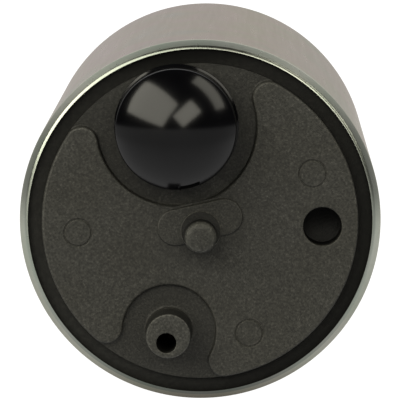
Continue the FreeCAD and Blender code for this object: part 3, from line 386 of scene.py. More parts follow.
def rounded_mouth(level, size):
    turns = [math.radians(step * 15) for step in range(1, 7)]
    rounded = [(level + size - size * math.cos(turn), size * math.sin(turn)) for turn in turns]
    return [(level - MOUTH_LEAD, -MOUTH)] + rounded


def recess_levels(floor):
    levels = [(ABOVE, -MOUTH)] + rounded_mouth(FACE, EDGE_ROUND)
    for step in range(6):
        turn = math.radians(step * 18)
        levels.append((floor - FOOT_ROUND + FOOT_ROUND * math.sin(turn),
                       EDGE_ROUND + FOOT_ROUND - FOOT_ROUND * math.cos(turn)))
    return levels


for name, offset, angle, radius, floor in (
        ("inlet_pocket", INLET_OFFSET, INLET_ANGLE, INLET_RECESS, INLET_FLOOR),
        ("vent_pocket", VENT_OFFSET, VENT_ANGLE, VENT_RECESS, VENT_FLOOR)):
    wide = recess_outline(offset, angle, radius, EDGE_ROUND + MOUTH)
    combine(cover, raise_rounded(name, wide, recess_levels(floor)), "DIFFERENCE")
print("with its recesses the cover has", len(cover.data.polygons), "faces")

# %% [markdown]
# ## The bosses
# The pad at the middle is a stadium with the retainer pin standing on its lower edge. The inlet
# nipple stays hidden under the cap until that is pulled off, and the vent spout is tapered so
# that it leaves the die. The pad is pulled in steps that widen at its foot and narrow at its top.
# The pin, the nipple and the spout are turned, with foot and crown as arcs, because those show as
# soft highlights. A low collar stands round the foot of the pin, a little above its middle, so that
# it doesn't reach out under the pad's lower edge.

# %% Pad, pin, nipple and spout
PAD_FACE = FACE - 0.35
PAD_RADIUS = 1.9
PAD_REACH = 2.62
PAD_TILT = 12.6
PAD_FOOT = 0.12
PAD_EDGE = 0.2
PAD_SPARE = 0.1
PIN_CENTRE = (0.1, -1.34)
PIN_RADIUS = 1.7
PIN_TOP = FACE - 3.2
PIN_FOOT = 0.2
PIN_CROWN = 0.8
COLLAR_RADIUS = 2.13
COLLAR_SHIFT = 0.42
COLLAR_FACE = PAD_FACE - 0.14
COLLAR_DRAFT = 0.1
NIPPLE_RADIUS = 5.5
NIPPLE_TIP = INLET_FLOOR - 5.25
NIPPLE_CHAMFER = 1.1
SPOUT_TIP = VENT_FLOOR - 4.5
SPOUT_ROOT = 2.8
SPOUT_FOOT = 0.25
SPOUT_END = 2.32
TIP_ROUND = 0.2
SUNK = FACE + 0.5
DEEP = 0.5

right, left = polar(PAD_REACH, PAD_TILT), polar(-PAD_REACH, PAD_TILT)
pad_wide = PAD_RADIUS + PAD_FOOT + PAD_SPARE
pad_outline = arc(right, pad_wide, PAD_TILT - 90, PAD_TILT + 90, 24)
pad_outline += arc(left, pad_wide, PAD_TILT + 90, PAD_TILT + 270, 24)
pad_levels = [(SUNK, 0.0), (FACE + 0.02, 0.0)]
for step in range(1, 6):
    turn = math.radians(step * 18)
    pad_levels.append((FACE - PAD_FOOT + PAD_FOOT * math.cos(turn), PAD_SPARE + PAD_FOOT * math.sin(turn)))
for step in range(1, 6):
    turn = math.radians(step * 18)
    pad_levels.append((PAD_FACE + PAD_EDGE - PAD_EDGE * math.sin(turn),
                       PAD_SPARE + PAD_FOOT + PAD_EDGE - PAD_EDGE * math.cos(turn)))
pad = raise_rounded("centre_pad", pad_outline, pad_levels)
collar_section = [(0.0, SUNK), (COLLAR_RADIUS, SUNK), (COLLAR_RADIUS, PAD_FACE),
                  (COLLAR_RADIUS - COLLAR_DRAFT, COLLAR_FACE), (0.0, COLLAR_FACE)]
collar_centre = (PIN_CENTRE[0], PIN_CENTRE[1] + COLLAR_SHIFT)
collar = turn_piece("peg_collar", collar_section, collar_centre, 64, closed=False)
pin_section = [(0.0, SUNK), (PIN_RADIUS + 0.22, SUNK), (PIN_RADIUS + 0.22, FACE + 0.02)]
pin_section += arc((PIN_RADIUS + PIN_FOOT, FACE - PIN_FOOT), PIN_FOOT, 78, 180, 5)
pin_section += arc((PIN_RADIUS - PIN_CROWN, PIN_TOP + PIN_CROWN), PIN_CROWN, 0, -90, 8) + [(0.0, PIN_TOP)]
pin = turn_piece("retainer_peg", pin_section, PIN_CENTRE, 64, closed=False)
nipple_section = [(0.0, DEEP), (NIPPLE_RADIUS, DEEP), (NIPPLE_RADIUS, NIPPLE_TIP + NIPPLE_CHAMFER),
                  (NIPPLE_RADIUS - NIPPLE_CHAMFER, NIPPLE_TIP), (0.0, NIPPLE_TIP)]
nipple = turn_piece("inlet_stub", nipple_section, INLET_CENTRE, 96, closed=False)
spout_section = [(0.0, DEEP), (SPOUT_ROOT, DEEP), (SPOUT_ROOT, VENT_FLOOR + 0.02)]
spout_section += arc((SPOUT_ROOT - 0.11, VENT_FLOOR - SPOUT_FOOT), SPOUT_FOOT, 80, 180, 6)
spout_section += arc((SPOUT_END - TIP_ROUND, SPOUT_TIP + TIP_ROUND), TIP_ROUND, 0, -90, 5)
spout_section.append((0.0, SPOUT_TIP))
spout = turn_piece("vent_stub", spout_section, VENT_CENTRE, 64, closed=False)
for boss in (pad, collar, pin, nipple, spout):
    combine(cover, boss, "UNION")
print("with its bosses the cover has", len(cover.data.polygons), "faces")

# %% [markdown]
# ## The holes
# The inlet and the vent go right through. The locating hole is blind and shows the cone of the
# drill at its bottom. Their mouths are rounded by the tools that cut them. Each of the three
# ejector marks is a faint disc inside a fine groove.

# %% Bores, locating hole and ejector marks
INLET_BORE = 4.0
VENT_BORE = 1.05
VENT_BORE_OFFSET = 12.77
HOLE_RADIUS = 2.03
HOLE_CENTRE = (12.84, -0.47)
HOLE_END = 2.6
HOLE_POINT = 3.8
THROUGH = 7.0
DRILL_RISE = 3.0
MARK_OFFSET = 12.85
MARK_ANGLES = (23.2, 185.2, 293.8)
GROOVE_FLOOR = FACE + 0.12


def hole_section(radius, level, size, rest):
    mouth = [(radius + size - inset, station) for station, inset in rounded_mouth(level, size)]
    return [(0.0, level - DRILL_RISE), (radius + size + MOUTH, level - DRILL_RISE)] + mouth + rest


inlet_bore = hole_section(INLET_BORE, NIPPLE_TIP, 0.2, [(INLET_BORE, THROUGH), (0.0, THROUGH)])
vent_bore = hole_section(VENT_BORE, SPOUT_TIP, 0.12, [(VENT_BORE, THROUGH), (0.0, THROUGH)])
blind_hole = hole_section(HOLE_RADIUS, FACE, 0.15, [(HOLE_RADIUS, HOLE_END), (0.0, HOLE_POINT)])
bores = [
    turn_piece("inlet_drill", inlet_bore, INLET_CENTRE, 96, closed=False),
    turn_piece("vent_drill", vent_bore, polar(VENT_BORE_OFFSET, VENT_ANGLE), 48, closed=False),
    turn_piece("peg_drill", blind_hole, HOLE_CENTRE, 64, closed=False),
]
marks = []
for index, angle in enumerate(MARK_ANGLES):
    marks.append(turn_piece("ejector_%d" % index, [
        (0.0, -2.0), (3.5, -2.0), (1.60, FACE - 0.03), (1.45, GROOVE_FLOOR), (1.39, GROOVE_FLOOR),
        (1.28, FACE), (0.0, FACE)], polar(MARK_OFFSET, angle), 48, closed=False))
for tool in bores + marks:
    combine(cover, tool, "DIFFERENCE")
print("drilled, the cover has", len(cover.data.polygons), "faces")

# %% [markdown]
# ## Shading the casting
# The flat faces of the casting are large and many-sided, and a smooth shade would bend over them.
# Weighted normals let the large faces decide, so the light turns only on the rounds.

# %% Finish the casting
finish_piece(cover, "housing", "inlet_cover", smooth=40.0)

# %% [markdown]
# ## The dust cap
# A thin glossy cap is pushed over the inlet nipple and keeps dirt out until the pump is fitted.
# Its top is part of a ball, its edge is rounded, and a bead runs round its foot. The mould leaves
# a small notch at the edge. The cap is turned as a shell with a wall of 0.75 mm, so that it still
# looks right when it is pulled off and its open side shows.

# %% Cap shell
CAP_WALL = 0.75
CAP_PLAY = 0.06
CAP_INNER = NIPPLE_RADIUS + CAP_PLAY
CAP_OUTER = CAP_INNER + CAP_WALL
CAP_FOOT = INLET_FLOOR - 0.1
CAP_TOP = INLET_FLOOR - 7.9
CAP_EDGE = 0.6
DOME_RADIUS = 8.0
HOLLOW_RADIUS = DOME_RADIUS - CAP_WALL
BEAD_RADIUS = CAP_OUTER + 0.2
BEAD_TOP = CAP_FOOT - 0.8

ball = CAP_TOP + DOME_RADIUS
edge_reach = CAP_OUTER - CAP_EDGE
edge_height = math.sqrt((DOME_RADIUS - CAP_EDGE) ** 2 - edge_reach ** 2)
edge_turn = math.degrees(math.atan2(edge_height, edge_reach))
dome = arc((0.0, ball), DOME_RADIUS, -edge_turn, -90, 28)
inner_span = math.degrees(math.acos(CAP_INNER / HOLLOW_RADIUS))
hollow = arc((0.0, ball), HOLLOW_RADIUS, -90, -inner_span, 20)
cap_section = [(CAP_INNER, CAP_FOOT), (BEAD_RADIUS, CAP_FOOT), (BEAD_RADIUS, BEAD_TOP),
               (CAP_OUTER, BEAD_TOP - 0.2)]
cap_section += arc((edge_reach, ball - edge_height), CAP_EDGE, 0, -edge_turn, 8)[:-1] + dome + hollow
cap = turn_piece("cap_shell", cap_section, INLET_CENTRE, 160)
print("the cap is", round(2 * BEAD_RADIUS, 2), "mm across its bead")

# %% Cap notch
NOTCH_ANGLE = 284.0
NOTCH_FLOOR = 5.85
NOTCH_OUTSIDE = 7.4
NOTCH_HALF = 1.0
NOTCH_END = CAP_TOP + 3.75
NOTCH_BEVEL = 0.06

notch_outline = [polar(across, NOTCH_ANGLE + 90, polar(reach, NOTCH_ANGLE, INLET_CENTRE))
                 for reach, across in ((NOTCH_FLOOR, -NOTCH_HALF), (NOTCH_OUTSIDE, -NOTCH_HALF),
                                       (NOTCH_OUTSIDE, NOTCH_HALF), (NOTCH_FLOOR, NOTCH_HALF))]
combine(cap, raise_piece("notch_tool", notch_outline, CAP_TOP - 1.0, NOTCH_END), "DIFFERENCE")
soften(cap, NOTCH_BEVEL, 2, angle=60.0)
finish_piece(cap, "dust_cap", "inlet_dust_cap")

# %% [markdown]
# ## Copies of the springs
# A wound spring is stiff in the CAD model, so a brush or a valve that moves would go into its own
# spring. It could be wound again for each length. Each of the four springs is copied, the loose
# triangles of the copy are merged, and the copy loses the tag of a CAD node and stands for it
# instead. Its length and the travel of its joint are printed.

# %% Copy the springs
SPRINGS = (
    ("brush_spring_right", "brush_right_slide"),
    ("brush_spring_left", "brush_left_slide"),
    ("check_valve_spring", "check_valve_lift"),
    ("relief_spring", "relief_valve_lift"))

travels = {joint["name"]: joint["range_m"][1] for joint in frame["joints"] if "range_m" in joint}
springs = []
for spring_node, joint in SPRINGS:
    bpy.ops.object.select_all(action="DESELECT")
    nodes[spring_node].select_set(True)
    bpy.context.view_layer.objects.active = nodes[spring_node]
    bpy.ops.object.duplicate()
    spring = bpy.context.object
    spring.name = spring_node + "_coil"
    del spring["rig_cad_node"]
    bpy.ops.object.mode_set(mode="EDIT")
    close_edit()
    finish_piece(spring, "housing", spring_node)
    near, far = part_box(spring_node)
    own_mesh(spring)
    springs.append(spring)
    long, travel = round((far.y - near.y) / MM, 2), round(travels[joint] / MM, 2)
    print(spring.name, "is", long, "mm long and shortens by", travel)

# %% [markdown]
# ## How the finishes are made
# Every finish is a node material. Two kinds of noise in Object coordinates do most of the work:
# a broad one shifts the colour a little from place to place, and a fine one gives the grain and
# the bump. Values that are the same all over a surface are set on the shader itself.


# %% Finish helpers
def new_finish(name, roughness, metallic=0.0, **sockets):
    material = bpy.data.materials.new(name)
    material.use_nodes = True
    shader = material.node_tree.nodes["Principled BSDF"]
    shader.inputs["Roughness"].default_value = roughness
    shader.inputs["Metallic"].default_value = metallic
    for socket, amount in sockets.items():
        shader.inputs[socket.replace("_", " ")].default_value = amount
    return material


def add_noise(material, size, detail=4.0, stretch=(1.0, 1.0, 1.0), roughness=0.6):
    tree = material.node_tree
    place = tree.nodes.new("ShaderNodeTexCoord")
    mapping = tree.nodes.new("ShaderNodeMapping")
    mapping.inputs["Scale"].default_value = stretch
    noise = tree.nodes.new("ShaderNodeTexNoise")
    noise.inputs["Scale"].default_value = 1.0 / (size * MM)
    noise.inputs["Detail"].default_value = detail
    noise.inputs["Roughness"].default_value = roughness
    tree.links.new(place.outputs["Object"], mapping.inputs["Vector"])
    tree.links.new(mapping.outputs["Vector"], noise.inputs["Vector"])
    return noise.outputs["Fac"]


def add_station(material, first, last):
    tree = material.node_tree
    place = tree.nodes.new("ShaderNodeTexCoord")
    split = tree.nodes.new("ShaderNodeSeparateXYZ")
    along = tree.nodes.new("ShaderNodeMapRange")
    along.inputs["From Min"].default_value = at(first)
    along.inputs["From Max"].default_value = at(last)
    tree.links.new(place.outputs["Object"], split.inputs["Vector"])
    tree.links.new(split.outputs["Y"], along.inputs["Value"])
    return along.outputs["Result"]


def add_slope(material, angle, first, last):
    tree = material.node_tree
    place = tree.nodes.new("ShaderNodeTexCoord")
    along = tree.nodes.new("ShaderNodeVectorMath")
    along.operation = "DOT_PRODUCT"
    x, z = polar(1.0, angle)
    along.inputs[1].default_value = (x, 0.0, z)
    spread = tree.nodes.new("ShaderNodeMapRange")
    spread.inputs["From Min"].default_value = first * MM
    spread.inputs["From Max"].default_value = last * MM
    tree.links.new(place.outputs["Object"], along.inputs[0])
    tree.links.new(along.outputs["Value"], spread.inputs["Value"])
    return spread.outputs["Result"]


def add_radius(material, first, last):
    tree = material.node_tree
    place = tree.nodes.new("ShaderNodeTexCoord")
    flatten = tree.nodes.new("ShaderNodeVectorMath")
    flatten.operation = "MULTIPLY"
    flatten.inputs[1].default_value = (1.0, 0.0, 1.0)
    distance = tree.nodes.new("ShaderNodeVectorMath")
    distance.operation = "LENGTH"
    across = tree.nodes.new("ShaderNodeMapRange")
    across.inputs["From Min"].default_value = first * MM
    across.inputs["From Max"].default_value = last * MM
    tree.links.new(place.outputs["Object"], flatten.inputs[0])
    tree.links.new(flatten.outputs["Vector"], distance.inputs[0])
    tree.links.new(distance.outputs["Value"], across.inputs["Value"])
    return across.outputs["Result"]


def add_ramp(material, factor, stops):
    tree = material.node_tree
    ramp = tree.nodes.new("ShaderNodeValToRGB")
    band = ramp.color_ramp
    while len(band.elements) < len(stops):
        band.elements.new(0.5)
    for element, (position, colour) in zip(band.elements, stops):
        element.position = position
        element.color = (*colour, 1.0)
    tree.links.new(factor, ramp.inputs["Fac"])
    return ramp.outputs["Color"]


def add_bump(material, height, depth, strength=1.0):
    tree = material.node_tree
    bump = tree.nodes.new("ShaderNodeBump")
    bump.inputs["Strength"].default_value = strength
    bump.inputs["Distance"].default_value = depth * MM
    tree.links.new(height, bump.inputs["Height"])
    tree.links.new(bump.outputs["Normal"], tree.nodes["Principled BSDF"].inputs["Normal"])


def add_roughness(material, factor, low, high):
    tree = material.node_tree
    spread = tree.nodes.new("ShaderNodeMapRange")
    spread.inputs["To Min"].default_value = low
    spread.inputs["To Max"].default_value = high
    tree.links.new(factor, spread.inputs["Value"])
    tree.links.new(spread.outputs["Result"], tree.nodes["Principled BSDF"].inputs["Roughness"])


def grey_stops(stops):
    return [(position, (tone, tone, tone)) for position, tone in stops]


def set_colour(material, colour):
    tree = material.node_tree
    tree.links.new(colour, tree.nodes["Principled BSDF"].inputs["Base Color"])


def mix_colours(material, factor, first, second, blend="MIX"):
    tree = material.node_tree
    mix = tree.nodes.new("ShaderNodeMix")
    mix.data_type = "RGBA"
    mix.blend_type = blend
    if isinstance(factor, float):
        mix.inputs["Factor"].default_value = factor
    else:
        tree.links.new(factor, mix.inputs["Factor"])
    tree.links.new(first, mix.inputs["A"])
    tree.links.new(second, mix.inputs["B"])
    return mix.outputs["Result"]


def multiply(material, first, second):
    return mix_colours(material, 1.0, first, second, "MULTIPLY")


print("helpers for finishes are ready")

# %% [markdown]
# ## Blasted die casting
# The cover is a dark warm grey with a fine grain all over, like sand, two tenths of a millimetre
# across, whose brightest specks are painted glints. A second, broader noise makes some areas a
# touch browner, as handling does. Shade and highlights are painted into the colour too: the
# recesses, the holes, the sides of the pin and the spout and the top of the collar round the pin
# are painted darker, as shade, and the rounds along the edges and the crown of the pin are painted
# brighter, as highlights. The station along the pump, read from the Object coordinates, drives all
# that through two ramps, one for the pad and the pin in the middle and one for all that lies round
# them. The colour also grows a touch darker towards the middle of the face.

# %% Casting finish
BLASTED = 0.212
# the tone of the painted highlight along the rounded edges
EDGE_HIGHLIGHT = 2.1
# the tone of the painted shade on the spout's side
SIDE_SHADE = 0.36
LAST = 2.0
MIDDLE_RADIUS = 4.9


def tone_stops(tones):
    span = LAST - SPOUT_TIP
    return grey_stops([((station - SPOUT_TIP) / span, BLASTED * tone) for station, tone in tones])


casting = new_finish("blasted_casting", 0.6, Specular_IOR_Level=0.13)
grain = add_noise(casting, 0.21, detail=3.0, roughness=0.65)
patches = add_noise(casting, 7.0, detail=2.0)
# the grain's tones; its brightest specks are painted glints
grain_and_glints = add_ramp(casting, grain, [(0.34, (0.038, 0.038, 0.034)), (0.50, (0.070, 0.070, 0.062)),
                                         (0.62, (0.100, 0.099, 0.089)), (0.76, (0.20, 0.197, 0.178))])
patch_colour = add_ramp(casting, patches, [(0.35, (0.88, 0.87, 0.83)), (0.65, (1.0, 1.0, 1.0))])
blasted = multiply(casting, grain_and_glints, patch_colour)
along = add_station(casting, SPOUT_TIP, LAST)
# painted light by station in the middle: highlights on the pin's crown, the collar's rim and the pad's edge;
# shade on the pin's side, the collar's top and the pad's wall
middle = add_ramp(casting, along, tone_stops([
    (PIN_TOP, 1.1), (PIN_TOP + 0.15, 2.2), (PIN_TOP + 0.7, 0.8), (PIN_TOP + 0.9, 0.15),
    (PAD_FACE - 0.135, 0.15), (PAD_FACE - 0.10, 2.4), (PAD_FACE - 0.02, 2.4), (PAD_FACE - 0.01, 0.60),
    (PAD_FACE, 0.60), (PAD_FACE + 0.02, EDGE_HIGHLIGHT), (PAD_FACE + 0.12, 0.8), (FACE - 0.01, 0.85),
    (FACE, 0.95)]))
# painted light by station round the middle: highlights on the spout's tip and the face's rounds; shade on the
# spout's side, the recess walls and floors, and inside the holes
around = add_ramp(casting, along, tone_stops([
    (SPOUT_TIP, 1.15), (SPOUT_TIP + 0.03, EDGE_HIGHLIGHT), (SPOUT_TIP + 0.2, SIDE_SHADE), (FACE - 0.2, SIDE_SHADE),
    (FACE - 0.03, 1.0), (FACE + 0.004, 1.0), (FACE + 0.03, 1.6), (FACE + 0.15, 0.8), (FACE + 0.5, 0.45),
    (VENT_FLOOR - 0.04, 1.0), (VENT_FLOOR, 0.60), (INLET_FLOOR, 0.62), (0.0, 0.05), (0.6, 0.01)]))
past_middle = add_radius(casting, MIDDLE_RADIUS, MIDDLE_RADIUS + 0.1)
zone = add_ramp(casting, past_middle, grey_stops([(0.0, 0.0), (1.0, 1.0)]))
tone = mix_colours(casting, zone, middle, around)
# the colour grows a touch darker towards the middle of the face
darker_middle = add_ramp(casting, add_radius(casting, 0.0, FACE_RADIUS),
                   grey_stops([(0.2, 0.82), (0.6, 0.97), (1.0, 1.04)]))
# the painted shade and highlights of the two ramps, a touch darker towards the middle
tone_with_painted_light = multiply(casting, tone, darker_middle)
set_colour(casting, multiply(casting, blasted, tone_with_painted_light))
add_roughness(casting, grain, 0.68, 0.46)
add_bump(casting, grain, 0.04, 0.8)
print("casting finish made")

# %% [markdown]
# ## Zinc plated steel
# The plating on the case is a thin passivated zinc: bright grey with faint pink, green and straw
# tints, and greener on the rolled band. Faint draw marks run along the axis. A broad noise picks
# the tint, a long stretched noise draws the marks, and a ramp across the tube lets its tints drift
# from purple on one side to olive on the other. Two ramps over the height of the pump paint light
# and shade on the rolled band and on the lip in front of it: the band is painted brighter on its
# upper side, as a highlight, and darker towards the bottom, as shade, and the lip is painted
# brightest a little above the middle, as a highlight, and darker at the bottom and at the top.

# %% Plated finish
plating = new_finish("plated_steel", 0.3, metallic=1.0, Specular_Tint=(0.70, 0.64, 0.58, 1.0))
tints = add_noise(plating, 9.0, detail=2.5, stretch=(1.0, 0.6, 1.0))
marks = add_noise(plating, 0.5, detail=3.0, stretch=(1.0, 0.03, 1.0))
tube_colour = add_ramp(plating, tints, [(0.30, (0.275, 0.29, 0.25)), (0.44, (0.335, 0.29, 0.285)),
                                        (0.56, (0.305, 0.30, 0.25)), (0.70, (0.27, 0.295, 0.27))])
drift = add_ramp(plating, add_slope(plating, 0.0, -CASE_RADIUS, CASE_RADIUS), [
    (0.22, (1.05, 1.04, 1.12)), (0.37, (1.02, 0.98, 1.05)), (0.5, (0.99, 0.98, 0.98)),
    (0.65, (0.99, 1.0, 0.91)), (0.84, (0.95, 1.0, 0.92)), (0.94, (0.90, 0.91, 0.84))])
band_tint = add_ramp(plating, tints, [(0.35, (0.25, 0.28, 0.24)), (0.65, (0.30, 0.31, 0.28))])
height = add_slope(plating, 90.0, -CASE_RADIUS, CASE_RADIUS)
# painted light on the band: a highlight on its upper side, shade towards the bottom
band_painted_light = add_ramp(plating, height, grey_stops([
    (0.0, 0.22), (0.03, 0.45), (0.12, 0.9), (0.3, 1.0), (0.5, 1.2), (0.75, 1.6), (0.9, 2.8)]))
# painted light on the lip: a highlight a little above the middle, shade at the bottom and top
lip_painted_light = add_ramp(plating, height, grey_stops([
    (0.0, 0.22), (0.1, 0.55), (0.35, 0.95), (0.55, 1.1), (0.8, 0.7), (0.97, 0.48)]))
past_lip = add_station(plating, 0.18, 0.26)
# the lip's and the band's painted light, each on its own part of the rim
rim_painted_light = mix_colours(plating, past_lip, lip_painted_light, band_painted_light)
band_colour = multiply(plating, band_tint, rim_painted_light)
past_band = add_station(plating, 1.1, 1.5)
plated = mix_colours(plating, past_band, band_colour, multiply(plating, tube_colour, drift))
mark_colour = add_ramp(plating, marks, [(0.35, (0.95, 0.95, 0.95)), (0.65, (1.0, 1.0, 1.0))])
set_colour(plating, multiply(plating, plated, mark_colour))
add_roughness(plating, marks, 0.32, 0.25)
add_bump(plating, marks, 0.006, 0.2)
print("plated finish made")

# %% [markdown]
# ## Black rubber and black nylon
# The ring's rubber is matt and nearly black, with a dusty grain. Shade and light are painted into
# its colour: it is painted darker towards the lip and darker still along its top, as shade, and
# lighter on its lower left side, as painted light. The cap's nylon is the one glossy thing on this
# end of the pump: it mirrors the table below and the room above, so it needs a low roughness that
# barely varies, and only a trace of a slow wave. The cut of its notch is painted dark, as shade:
# it has a finish of its own, matt and without shine.

# %% Rubber and nylon finishes
rubber = new_finish("seal_rubber", 0.6, Specular_IOR_Level=0.04)
dust = add_noise(rubber, 0.35, detail=4.0)
dust_colour = add_ramp(rubber, dust, [(0.4, (0.0105, 0.0105, 0.0098)), (0.75, (0.0175, 0.0175, 0.016))])
# painted shade: the ring grows darker towards the lip
lip_shade = add_ramp(rubber, add_radius(rubber, RING_INNER, LIP_RADIUS),
                   grey_stops([(0.0, 1.0), (0.35, 0.75), (1.0, 0.45)]))
# painted light: the ring is lighter on its lower left side
lower_left_light = add_ramp(rubber, add_slope(rubber, 205.0, -18.0, 18.0),
                   grey_stops([(0.0, 0.6), (0.5, 0.6), (0.75, 0.7), (1.0, 1.1)]))
# painted shadow: the ring is darker along its top
top_shadow = add_ramp(rubber, add_slope(rubber, 95.0, 15.0, 18.0), grey_stops([(0.3, 1.0), (0.8, 0.35)]))
# the dust's grain times the painted shade and light
dust_and_painted_light = multiply(rubber, dust_colour, multiply(rubber, lip_shade, lower_left_light))
set_colour(rubber, multiply(rubber, dust_and_painted_light, top_shadow))
add_roughness(rubber, dust, 0.55, 0.75)
add_bump(rubber, dust, 0.02, 0.5)

nylon = new_finish("glossy_nylon", 0.16, Specular_IOR_Level=0.2)
wave = add_noise(nylon, 4.0, detail=1.0)
set_colour(nylon, add_ramp(nylon, wave, [(0.3, (0.0005, 0.0005, 0.0007)), (0.7, (0.0010, 0.0010, 0.0013))]))
add_roughness(nylon, wave, 0.14, 0.18)
add_bump(nylon, wave, 0.004, 0.2)

# a finish that paints the notch's cut dark as shade: black and matt, without shine
notch_shade_nylon = new_finish("notch_shade_nylon", 0.9, Specular_IOR_Level=0.0)
cut = add_noise(notch_shade_nylon, 1.0)
set_colour(notch_shade_nylon, add_ramp(notch_shade_nylon, cut, grey_stops([(0.3, 0.002), (0.7, 0.003)])))
print("rubber and nylon finishes made")

# %% [markdown]
# ## The other materials
# Inside, each piece has the finish of its kind: turned, ground and rolled metals with fine marks,
# moulded plastics with a soft grain, sintered bronze with pores, enamelled wire with its turns.
# One function makes a plain finish from a colour, a grain size and a depth, and a loop makes the
# whole range, because these differ only in their numbers.


# %% Finishes for the record's slots
def plain_finish(name, colour, roughness, metallic, grain_size, depth, variation, stretch):
    material = new_finish(name, roughness, metallic)
    speckle = add_noise(material, grain_size, stretch=stretch)
    darker = tuple(channel * (1 - variation) for channel in colour)
    lighter = tuple(min(1.0, channel * (1 + variation)) for channel in colour)
    set_colour(material, add_ramp(material, speckle, [(0.35, darker), (0.65, lighter)]))
    add_roughness(material, speckle, roughness + 0.06, max(0.04, roughness - 0.06))
    add_bump(material, speckle, depth, 0.5)
    return material


EVEN = (1.0, 1.0, 1.0)
LONG = (1.0, 0.04, 1.0)
ROUND = (0.25, 1.0, 0.25)
finishes = {
    "zinc_plated_steel": plating,
    "seal_rubber": rubber,
    "blasted_die_casting": casting,
    "black_nylon": nylon,
}
for slot, colour, roughness, metallic, size, depth, variation, stretch in (
        ("turned_die_casting", (0.45, 0.45, 0.43), 0.38, 1.0, 0.3, 0.01, 0.12, EVEN),
        ("phenolic_resin", (0.16, 0.07, 0.035), 0.5, 0.0, 0.5, 0.02, 0.25, EVEN),
        ("outlet_acetal", (0.018, 0.018, 0.018), 0.42, 0.0, 0.4, 0.015, 0.25, EVEN),
        ("button_ceramic", (0.75, 0.73, 0.68), 0.25, 0.0, 0.5, 0.004, 0.05, EVEN),
        ("sintered_bronze", (0.42, 0.25, 0.11), 0.5, 1.0, 0.25, 0.02, 0.25, EVEN),
        ("ground_shaft_steel", (0.55, 0.55, 0.56), 0.14, 1.0, 0.3, 0.003, 0.06, ROUND),
        ("washer_plastic", (0.62, 0.60, 0.52), 0.45, 0.0, 0.5, 0.006, 0.06, EVEN),
        ("lamination_steel", (0.20, 0.20, 0.21), 0.45, 1.0, 0.5, 0.02, 0.25, (0.05, 1.0, 0.05)),
        ("insulator_plastic", (0.03, 0.10, 0.05), 0.45, 0.0, 0.6, 0.01, 0.15, EVEN),
        ("enamelled_wire", (0.42, 0.15, 0.06), 0.25, 0.8, 0.45, 0.12, 0.35, (1.0, 0.08, 1.0)),
        ("segment_copper", (0.55, 0.24, 0.12), 0.3, 1.0, 0.3, 0.004, 0.15, EVEN),
        ("ferrite_magnet", (0.045, 0.045, 0.048), 0.55, 0.3, 0.3, 0.01, 0.2, EVEN),
        ("ferrite_core", (0.05, 0.047, 0.045), 0.6, 0.2, 0.3, 0.02, 0.25, EVEN),
        ("spring_steel", (0.35, 0.35, 0.35), 0.28, 1.0, 0.4, 0.003, 0.1, EVEN),
        ("brush_carbon", (0.03, 0.03, 0.032), 0.6, 0.2, 0.25, 0.015, 0.3, EVEN),
        ("braided_copper", (0.50, 0.22, 0.12), 0.35, 1.0, 0.2, 0.08, 0.3, EVEN),
        ("valve_rubber", (0.02, 0.02, 0.02), 0.6, 0.0, 0.3, 0.01, 0.2, EVEN),
        ("brass_turned", (0.60, 0.45, 0.18), 0.3, 1.0, 0.3, 0.004, 0.1, ROUND),
        ("tinned_brass", (0.50, 0.49, 0.46), 0.3, 1.0, 0.4, 0.004, 0.1, LONG)):
    finishes[slot] = plain_finish(slot, colour, roughness, metallic, size, depth, variation, stretch)
print("made", len(finishes), "finishes")

# %% [markdown]
# ## Giving each piece its finish
# The record names a material slot for each CAD node. Each node keeps its mesh and gets the finish
# of its slot, and the pieces modelled here get the finish of the node that they stand for. Last,
# the faces that lie inside the cap's notch get the finish that paints them dark as shade.

# %% Assign the finishes
for entry in frame["record"]["subparts"]:
    node = nodes[entry["node"]]
    node.data.materials.clear()
    node.data.materials.append(finishes[entry["material_slot"]])
new_pieces = [(case, "zinc_plated_steel"), (ring, "seal_rubber"), (cover, "blasted_die_casting"),
              (cap, "black_nylon")]
new_pieces += [(spring, "spring_steel") for spring in springs]
for piece, slot in new_pieces:
    piece.data.materials.clear()
    piece.data.materials.append(finishes[slot])
print("finished", len(nodes), "nodes and", len(new_pieces), "new pieces")

# %% Paint the notch's cut dark as shade
NOTCH_SHADE_REACH = NOTCH_FLOOR - 0.08
NOTCH_SHADE_HALF = NOTCH_HALF + 0.05
NOTCH_SHADE_END = at(NOTCH_END + 0.05)

# the faces inside the notch get the finish that paints them dark as shade
cap.data.materials.append(notch_shade_nylon)
notch_way = Vector(polar(1.0, NOTCH_ANGLE))
notch_shade_faces = 0
for face in cap.data.polygons:
    offset = Vector((face.center.x, face.center.z)) / MM - Vector(INLET_CENTRE)
    outward_enough = offset.dot(notch_way) > NOTCH_SHADE_REACH
    between_sides = abs(offset.cross(notch_way)) < NOTCH_SHADE_HALF
    if outward_enough and between_sides and face.center.y < NOTCH_SHADE_END:
        face.material_index = 1
        notch_shade_faces += 1
print("the notch has", notch_shade_faces, "matt faces")

# %% [markdown]
# ## The table
# The pump lies on its side on a white table that fills the whole picture, so bright that it shows
# as plain white. A large disc serves, with some light of its own, as an overexposed studio table
# has. The lit pool lies round the pump and behind it, and is a little less bright to the sides and
# in front, where the picture doesn't reach but the glossy cap mirrors the table. The fade is a
# distance from the middle of the pool, with X stretched, so the pool is a long ellipse.

# %% Floor
TABLE_HEIGHT = -CASE_RADIUS * MM
TABLE_RADIUS = 3.0
POOL_CENTRE = 0.35
POOL_STRETCH = 1.6

